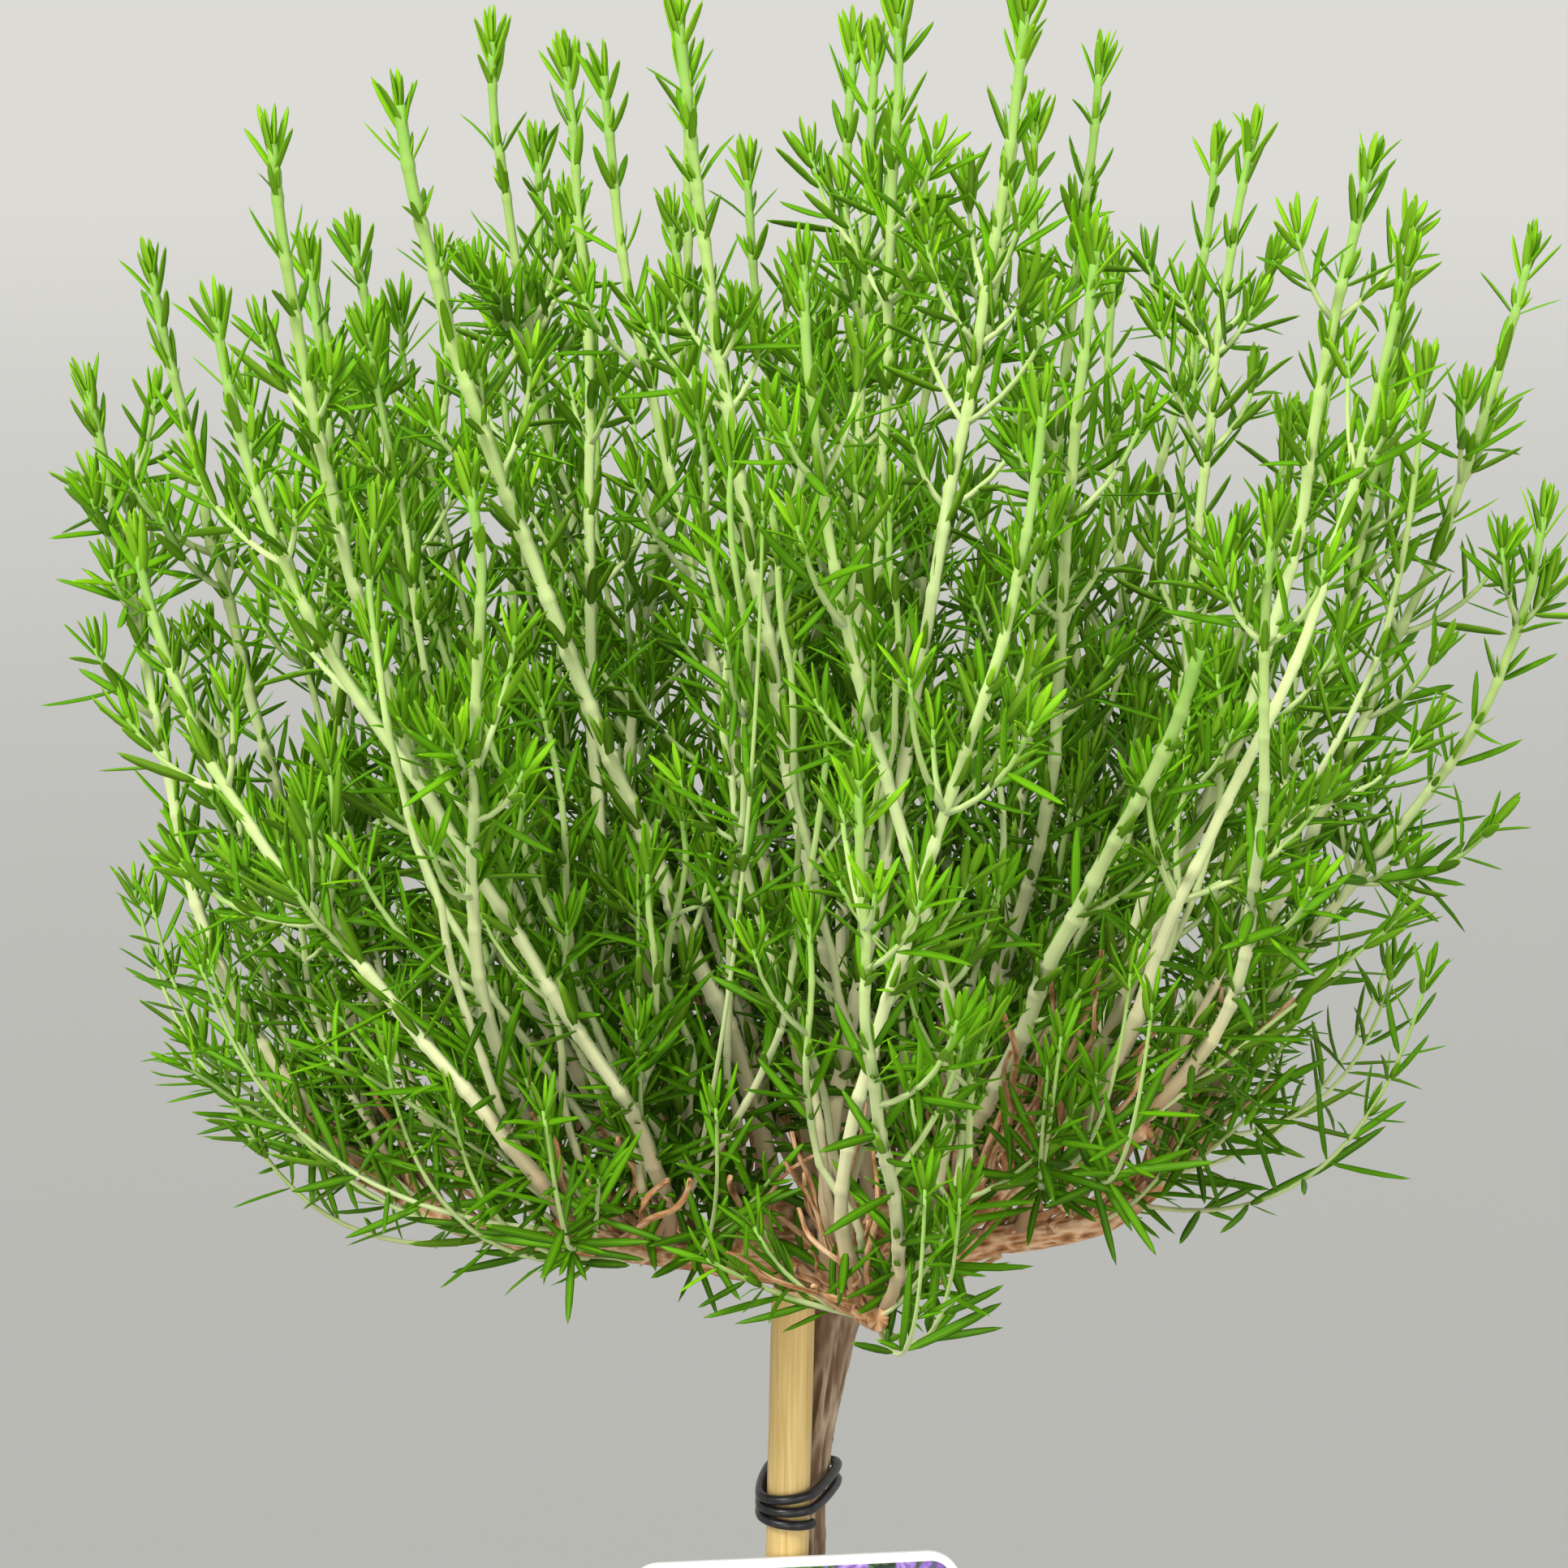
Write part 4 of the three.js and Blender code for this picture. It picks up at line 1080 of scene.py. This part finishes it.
def cordTube(path, radius, sides=14, spacing=0.7):
    shares = np.linspace(0, 1, max(12, int(lengthOf(path) / spacing)))
    at, heading = alongLine(path, shares)
    side, cross = besideLine(heading, (0.12, -0.1, 0.98))
    ends = np.minimum(shares, 1 - shares) * lengthOf(path)
    rounded = radius * np.sqrt(np.clip(1 - (1 - np.clip(ends / radius, 0, 1)) ** 2, 0.02, 1))
    return tube(at, side, cross, np.repeat(rounded[:, None], sides, 1), shares)


def makeTie(name, node, z, start):
    bars = [(caneAt(z), caneSize["radius"] + 0.25), trunkAt(z)]
    perTurn = 12
    count = round(tieStyle["turns"] * perTurn)
    points = []
    for i in range(count + 1):
        angle = math.radians(start) - 2 * math.pi * i / perTurn
        point = wrapPoint(bars, angle, tieStyle["wire"] + tieStyle["gap"] * 0.3)
        climb = tieStyle["pitch"] * (i / perTurn - tieStyle["turns"] / 2)
        point[2] = z + climb * (1 + tieStyle["fan"] * math.cos(angle)) + tieStyle["slope"] * point[0]
        points.append(point)
    points.append(points[-1] + unit(points[-1] - points[-2]) * 4 + np.array([0.6, 0, 1.2]))
    points, faces, _ = together([cordTube(smoothLine(points, 12), tieStyle["wire"])])
    newPiece(name, points, faces, cordMaterial, [node])


makeTie("cord_tie_upper", "upper_tie", tieHeights["upper"], -20)
makeTie("cord_tie_lower", "lower_tie", tieHeights["lower"], 160)
print("ties made")


# The label: a thin card with rounded corners and two holes, turned a little in its own plane.
labelSize = {"width": 77.0, "height": 108.0, "thick": 0.8, "corner": 7.6}
labelSize.update(top=crownBase - 63.3, tilt=2.75)
labelHole = {"radius": 2.1, "aside": 11.0, "down": 17.0}


# from the label's own plane (across, out from its back, up) to the scene
def onLabel(p):
    p = np.atleast_2d(p)
    a = math.radians(labelSize["tilt"])
    middle = caneAt(labelSize["top"] - labelSize["height"] / 2) + [5.0, -caneSize["radius"] - 1, 0]
    x = p[:, 0] * math.cos(a) - p[:, 2] * math.sin(a)
    z = p[:, 0] * math.sin(a) + p[:, 2] * math.cos(a)
    return middle + np.stack([x, p[:, 1], z], 1)


# The picture is made from the map: a rounded white border, blossoms as round cells shaded from
# their middles over streaky dark leaves, and a plain band with a thin rule below.
def labelLook():
    look = Look("label_card", 0.3, specular=0.5, coat=0.25)
    sheet = (2 * labelSize["width"], labelSize["height"], 0.0)  # front and back lie side by side on the map
    spot = look.vector("MULTIPLY", i0=look.onMap(), i1=sheet)
    bend = look.flatNoise(spot, 0.16, 2.0, "Color")
    bent = look.vector("MULTIPLY_ADD", i0=bend, i1=(7.0, 7.0, 0.0), i2=spot)
    needles = look.stretched(bent, (0.10, 0.75, 1), Rotation=(0, 0, 0.9))
    blades = look.flatNoise(needles, 1.0, 3.0)
    shade, green, bright = (0.006, 0.022, 0.008), (0.03, 0.10, 0.02), (0.12, 0.27, 0.05)
    picture = look.ramp(blades, [(0.36, shade), (0.5, green), (0.66, bright)])
    violet, white = (0.27, 0.13, 0.50), 1.0
    for scale, shift, size in ((0.085, 0.0, 0.40), (0.12, 37.0, 0.34)):
        moved = look.stretched(bent, (1, 1, 1), Location=(shift, shift, 0))
        away = look.math("DIVIDE", look.flatCells(moved, scale, 0.85), size)
        away = look.plus(away, look.times(look.flatCells(moved, scale * 4.2, 0.9), 0.55))
        petals = [(0.0, (0.92, 0.86, 0.94)), (0.3, (0.55, 0.40, 0.78))]
        petals += [(0.75, violet), (1.0, (0.10, 0.05, 0.20))]
        picture = look.mix(look.ramp(away, [(0.86, white), (1.0, 0.0)]), picture, look.ramp(away, petals))
    height = look.axes(spot)["Y"]
    inside = look.mix(look.math("LESS_THAN", height, 30.0), picture, (0.70, 0.76, 0.56))
    rule = look.math("LESS_THAN", look.math("ABSOLUTE", look.less(height, 28.6)), 0.7)
    inside = look.mix(rule, inside, violet)
    middle = np.array([labelSize["width"] / 2, labelSize["height"] / 2, 0.0])
    straight = middle - [6.6, 6.6, 0.0]
    off = look.vector("ABSOLUTE", i0=look.vector("SUBTRACT", i0=spot, i1=tuple(middle)))
    off = look.vector("MAXIMUM", i0=look.vector("SUBTRACT", i0=off, i1=tuple(straight)), i1=(0.0, 0.0, 0.0))
    border = look.math("GREATER_THAN", look.vector("LENGTH", "Value", i0=off), 4.2)
    grain = look.flatNoise(spot, 1.6, 4.0)
    card = look.ramp(grain, [(0.3, (0.80, 0.80, 0.79)), (0.7, (0.88, 0.88, 0.87))])
    rough = look.ramp(grain, [(0.3, 0.26), (0.7, 0.36)])
    return look.wear(Base_Color=look.mix(border, inside, card), Roughness=rough)


def arc(cx, cz, radius, start, end, count):
    a = np.radians(np.linspace(start, end, count))
    return np.stack([cx + radius * np.cos(a), cz + radius * np.sin(a)], 1)


# the outline and both holes filled with triangles on each face, and walled round between them
def makeLabel():
    w, h, c = labelSize["width"] / 2, labelSize["height"] / 2, labelSize["corner"]
    corners = [(w - c, c - h, -90), (w - c, h - c, 0), (c - w, h - c, 90), (c - w, c - h, 180)]
    outline = np.vstack([arc(x, z, c, start, start + 90, 12) for x, z, start in corners])
    loops = [outline]
    for aside in (-labelHole["aside"], labelHole["aside"]):
        loops.append(arc(aside, h - labelHole["down"], labelHole["radius"], 360, 0, 33)[:-1])
    flat = np.vstack(loops)
    count = len(flat)
    found = np.array(tessellate_polygon([[Vector((x, z, 0)) for x, z in loop] for loop in loops]))
    a, b, d = (flat[found[:, i]] for i in range(3))
    turnedBack = (b - a)[:, 0] * (d - a)[:, 1] - (b - a)[:, 1] * (d - a)[:, 0] < 0
    found[turnedBack] = found[turnedBack][:, ::-1]
    depth = np.full((count, 1), labelSize["thick"])
    front = np.hstack([flat[:, :1], -depth, flat[:, 1:]])
    back = np.hstack([flat[:, :1], 0 * depth, flat[:, 1:]])
    walls, begin = [], 0
    for loop in loops:
        i = begin + np.arange(len(loop))
        j = begin + (np.arange(len(loop)) + 1) % len(loop)
        walls.append(np.stack([j, i, i + count, j + count], 1))
        begin += len(loop)
    walls = np.vstack(walls)
    place = np.stack([(flat[:, 0] + w) / (4 * w), (flat[:, 1] + h) / (2 * h)], 1)
    frontUv = place[found].reshape(-1, 2)
    backUv = (place + [0.5, 0])[found[:, ::-1]].reshape(-1, 2)
    edgeUv = np.tile([[0.98, 0.02], [0.99, 0.02], [0.99, 0.03], [0.98, 0.03]], (len(walls), 1))
    points = onLabel(np.vstack([front, back]))
    faces = [found, found[:, ::-1] + count, walls]
    uv = np.vstack([frontUv, backUv, edgeUv])
    newPiece("label_card", points, faces, labelLook(), ["picture_label"], uv, sharpAbove=30)


# The label's cord: its ends cross behind the cane, and it comes forward on both sides, turns
# round the inner edge of each hole and lies across the label's face.
def makeLabelCord():
    wire, apart = 0.8, 1.3
    holeHeight = labelSize["height"] / 2 - labelHole["down"]
    turn = wire + labelSize["thick"] / 2 + tieStyle["gap"]
    edge = labelHole["aside"] - labelHole["radius"]
    a = np.radians([90, 45, 0, -45, -90])
    across, out = edge + turn * np.cos(a), turn * np.sin(a) - labelSize["thick"] / 2
    left = onLabel(np.stack([-across, out, np.full(5, holeHeight)], 1))
    right = onLabel(np.stack([across, out, np.full(5, holeHeight)], 1))[::-1]
    middle = caneAt(left[0][2])

    def behind(rows):
        found = []
        for degrees, rise in rows:
            bars = [(middle, caneSize["radius"] + 0.25)]
            point = wrapPoint(bars, math.radians(degrees), wire + tieStyle["gap"])
            found.append([point[0], point[1], middle[2] + rise * apart])
        return np.array(found)

    coming = behind([(40, 1), (75, 1), (115, 1), (155, 0.7), (185, 0)])
    going = behind([(-5, 0), (25, -0.7), (65, -1), (105, -1), (140, -1)])
    points, faces, _ = together([cordTube(smoothLine(np.vstack([coming, left, right, going]), 12), wire)])
    newPiece("cord_label", points, faces, cordMaterial, ["label_cord"])


makeLabel()
makeLabelCord()
print("label made")


# The pot: a profile turned about its axis, with a rolled rim, two shallow steps and a rounded
# foot, and round drainage holes cut through its floor.
potSize = {"height": 150.0, "top": 84.0, "base": 60.0, "wall": 2.4, "floor": 3.0}
potSize.update(rim=14.0, rimOut=3.5)
drain = {"count": 6, "radius": 5.0, "ring": 42.0}


def potRadius(z):
    return lerp(potSize["base"], potSize["top"], np.asarray(z, float) / potSize["height"])


def revolved(rows, sides):
    rows = np.array(rows, float)
    line = np.stack([0 * rows[:, 0], 0 * rows[:, 0], rows[:, 1]], 1)
    side = np.tile([1.0, 0.0, 0.0], (len(rows), 1))
    cross = np.tile([0.0, 1.0, 0.0], (len(rows), 1))
    return tube(line, side, cross, np.repeat(rows[:, :1], sides, 1), np.linspace(0, 1, len(rows)))


def potLook():
    look = Look("pot_plastic", 0.55, specular=0.35)
    where = look.onPiece()
    clouds = look.noise(where, 22.0, 4.0)
    fine = look.noise(where, 900.0, 3.0)
    body = look.ramp(clouds, [(0.3, (0.27, 0.080, 0.032)), (0.7, (0.36, 0.115, 0.048))])
    band = {"From_Min": 0.0, "From_Max": 0.05, "To_Min": 0.35, "To_Max": 0.0}
    low = look.node("ShaderNodeMapRange", None, Value=look.axes(where)["Z"], **band)
    dust = look.times(low.outputs["Result"], look.noise(where, 60.0, 5.0, 0.7))
    body = look.mix(dust, body, (0.42, 0.30, 0.20))
    rough = look.ramp(clouds, [(0.3, 0.48), (0.7, 0.62)])
    return look.wear(Base_Color=body, Roughness=rough, Normal=look.bump(fine, 0.25, 0.2))


def makePot():
    rimFoot = potSize["height"] - potSize["rim"]
    top, lip = potSize["height"], potSize["top"] + potSize["rimOut"]
    inner = potRadius(top) - potSize["wall"]
    rows = [(57.4, 0.0), (59.0, 0.25), (60.1, 1.0)]
    rows += [(potRadius(z) - 0.4, z) for z in np.linspace(2.2, 20, 6)]
    rows += [(potRadius(20.8), 20.8)]
    rows += [(potRadius(z), z) for z in np.linspace(24, 112, 12)]
    rows += [(potRadius(113), 113.0), (potRadius(113.8) + 0.4, 113.8)]
    rows += [(potRadius(z) + 0.4, z) for z in np.linspace(116, rimFoot - 0.3, 5)]
    rows += [(lip - 1.3, rimFoot), (lip - 0.4, rimFoot + 0.35), (lip, rimFoot + 1.2), (lip, rimFoot + 5)]
    rows += [(lip, top - 1.8), (lip - 0.45, top - 0.6), (lip - 1.5, top)]
    rows += [(inner + 1.3, top), (inner + 0.35, top - 0.5), (inner, top - 1.6)]
    rows += [(potRadius(z) - potSize["wall"], z) for z in np.linspace(top - 6, 6, 14)]
    rows += [(potRadius(3) - 4.2, 3.5), (potRadius(3) - 6, potSize["floor"])]
    points, faces, _ = together([revolved(rows, 144)])
    pot = newPiece("pot_body", points, faces, potLook(), ["pot"], sharpAbove=40)
    bore = [(drain["radius"], -8.0), (drain["radius"], 9.0)]
    plugs = []
    for a in np.linspace(0, 2 * np.pi, drain["count"], endpoint=False):
        plug = revolved(bore, 40)
        plug["points"] = plug["points"] + [drain["ring"] * math.cos(a), drain["ring"] * math.sin(a), 0]
        plugs.append(plug)
    points, faces, _ = together(plugs)
    mesh = bpy.data.meshes.new("holes")
    mesh.from_pydata((points * mm).tolist(), [], [f.tolist() for block in faces for f in block])
    cutter = inScene("holes", mesh)
    cut = pot.modifiers.new("holes", "BOOLEAN")
    cut.operation = "DIFFERENCE"
    cut.solver = "EXACT"
    cut.object = cutter
    done = bpy.data.meshes.new_from_object(pot.evaluated_get(bpy.context.evaluated_depsgraph_get()))
    pot.modifiers.clear()
    pot.data = done
    done.set_sharp_from_angle(angle=math.radians(40))
    bpy.data.objects.remove(cutter)


# The compost: a plug of the pot's inside whose top is raised and dented by smooth noise, with
# crumbs and chips of bark, each a small ball of twenty faces stretched its own way, lying on it.
compostStyle = {"bump": 2.2, "crumbs": 900, "chips": 110}


def groundHeight(x, y):
    u, v = x / 180 + 0.5, y / 180 + 0.5
    coarse = latticeNoise(u, v, 26, 26, 21) + 0.5 * latticeNoise(u, v, 60, 60, 22)
    mound = soilTop - 3.4 * (np.hypot(x, y) / 80) ** 2
    return mound + compostStyle["bump"] * (coarse - 0.9)


def compostLook():
    look = Look("compost", 0.95, specular=0.15)
    where = look.onPiece()
    lumps = look.node("ShaderNodeTexVoronoi", None, Vector=where, Scale=420.0).outputs["Distance"]
    tone = look.noise(where, 240.0, 5.0, 0.65)
    dark, middle, pale = (0.014, 0.008, 0.005), (0.055, 0.031, 0.018), (0.15, 0.085, 0.048)
    body = look.ramp(tone, [(0.3, dark), (0.55, middle), (0.8, pale)])
    return look.wear(Base_Color=body, Normal=look.bump(look.plus(lumps, tone), 0.8, 1.0))


def inside(z):
    return potRadius(z) - potSize["wall"] - 0.4


def makeCompost():
    look = compostLook()
    rows = [(inside(z), z) for z in np.linspace(3.4, soilTop - 5, 12)]
    rows += [(r, soilTop - 4) for r in np.linspace(float(inside(soilTop - 4)), 1.2, 70)]
    shape = revolved(rows, 180)
    p = shape["points"]
    onTop = p[:, 2] > soilTop - 4.5
    p[onTop, 2] = groundHeight(p[onTop, 0], p[onTop, 1])
    points, faces, _ = together([shape])
    newPiece("compost_plug", points, faces, look, ["potting_compost"])
    golden = (1 + math.sqrt(5)) / 2
    ball = np.array([[x, y * golden, 0] for x in (-1, 1) for y in (-1, 1)], float)
    ball = unit(np.vstack([ball, np.roll(ball, 1, 1), np.roll(ball, 2, 1)]))
    apart = np.linalg.norm(ball[:, None] - ball[None], axis=2)
    near = (apart > 0.1) & (apart < 1.2)
    # the 20 faces of a ball of 12 points are its triples of near points, each turned to face outward
    sides = []
    for i, j, k in ((i, j, k) for i in range(12) for j in range(i) for k in range(j)):
        if near[i, j] and near[j, k] and near[i, k]:
            outward = np.dot(np.cross(ball[j] - ball[i], ball[k] - ball[i]), ball[i]) > 0
            sides.append((i, j, k) if outward else (i, k, j))
    sides = np.array(sides)
    count = compostStyle["crumbs"] + compostStyle["chips"]
    turn, radius = rng.uniform(0, 2 * np.pi, count), 74 * np.sqrt(rng.uniform(0, 1, count))
    x, y = radius * np.cos(turn), radius * np.sin(turn)
    size = rng.uniform(0.6, 2.0, (count, 1)) * rng.uniform(0.7, 1.2, (count, 3))
    size[compostStyle["crumbs"]:] = [1.0, 1.0, 0.5] * rng.uniform(0.8, 1.6, (compostStyle["chips"], 1))
    size[compostStyle["crumbs"]:, 0] *= rng.uniform(2.0, 5.0, compostStyle["chips"])
    lump = ball[None] * size[:, None] * rng.uniform(0.75, 1.2, (count, 12, 1))
    spin, tip = rng.uniform(0, 2 * np.pi, (count, 1)), rng.normal(0, 0.3, (count, 1))
    raised = lump[..., 2] * np.cos(tip) + lump[..., 0] * np.sin(tip)
    level = lump[..., 0] * np.cos(tip) - lump[..., 2] * np.sin(tip)
    made = np.stack([
        x[:, None] + level * np.cos(spin) - lump[..., 1] * np.sin(spin),
        y[:, None] + level * np.sin(spin) + lump[..., 1] * np.cos(spin),
        (groundHeight(x, y) + size[:, 2] * 0.35)[:, None] + raised,
    ], -1)
    faces = (sides[None] + 12 * np.arange(count)[:, None, None]).reshape(-1, 3)
    newPiece("compost_crumbs", made.reshape(-1, 3), [faces], look)


makePot()
makeCompost()
print("pot and compost made")


# floor, light and camera

def makeFloor():
    look = Look("floor", 0.95, specular=0.05)
    away = look.vector("LENGTH", "Value", i0=look.onPiece())
    # painted shade: pale far off and a little darker near the object, eased over several metres, evening out
    # the lamps' brighter light on the near floor
    eased = {"interpolation_type": "SMOOTHSTEP"}
    share = look.node("ShaderNodeMapRange", eased, Value=away, From_Min=0.6, From_Max=9.0)
    near, middle, far = (0.325, 0.325, 0.31), (0.41, 0.41, 0.395), (0.50, 0.495, 0.475)
    look.wear(Base_Color=look.ramp(share.outputs["Result"], [(0.0, near), (0.35, middle), (1.0, far)]))
    mesh = bpy.data.meshes.new("floor")
    half = 60.0
    corners = [(-half, -half, 0), (half, -half, 0), (half, half, 0), (-half, half, 0)]
    mesh.from_pydata(corners, [], [(0, 1, 2, 3)])
    mesh.materials.append(look.material)
    inScene("floor", mesh)


def makeLight(name, kind, place, target, power, size):
    data = bpy.data.lights.new(name, kind)
    data.energy = power
    if kind == "SUN":
        data.angle = size
    else:
        data.shape = "SQUARE"
        data.size = size
    lamp = inScene(name, data)
    lamp.location = place
    aim = Vector(target) - Vector(place)
    lamp.rotation_euler = aim.to_track_quat("-Z", "Y").to_euler()


def makeCamera():
    data = bpy.data.cameras.new("camera")
    distance, elevation, across = 1.05, math.radians(12), 0.351
    target = np.array([-0.001, -0.004, 0.5874])
    place = target + distance * np.array([0, -math.cos(elevation), math.sin(elevation)])
    data.lens = data.sensor_width * distance / across
    camera = inScene("camera", data)
    camera.location = place
    camera.rotation_euler = (math.pi / 2 - elevation, 0, 0)
    bpy.context.scene.camera = camera


makeFloor()
makeLight("key", "SUN", (-1.2, -2.0, 3.0), (0, 0, 0.5), 3.6, 0.35)
makeLight("fill", "AREA", (1.6, -1.8, 1.2), (0, 0, 0.6), 12, 1.4)
makeLight("low_front", "AREA", (-0.3, -2.0, 0.35), (0, 0, 0.55), 14, 1.2)
world = bpy.data.worlds.new("studio")
bpy.context.scene.world = world
world.use_nodes = True
world.node_tree.nodes["Background"].inputs["Color"].default_value = (1.0, 0.99, 0.97, 1)
world.node_tree.nodes["Background"].inputs["Strength"].default_value = 0.6
bpy.context.scene.view_settings.view_transform = "Standard"
makeCamera()
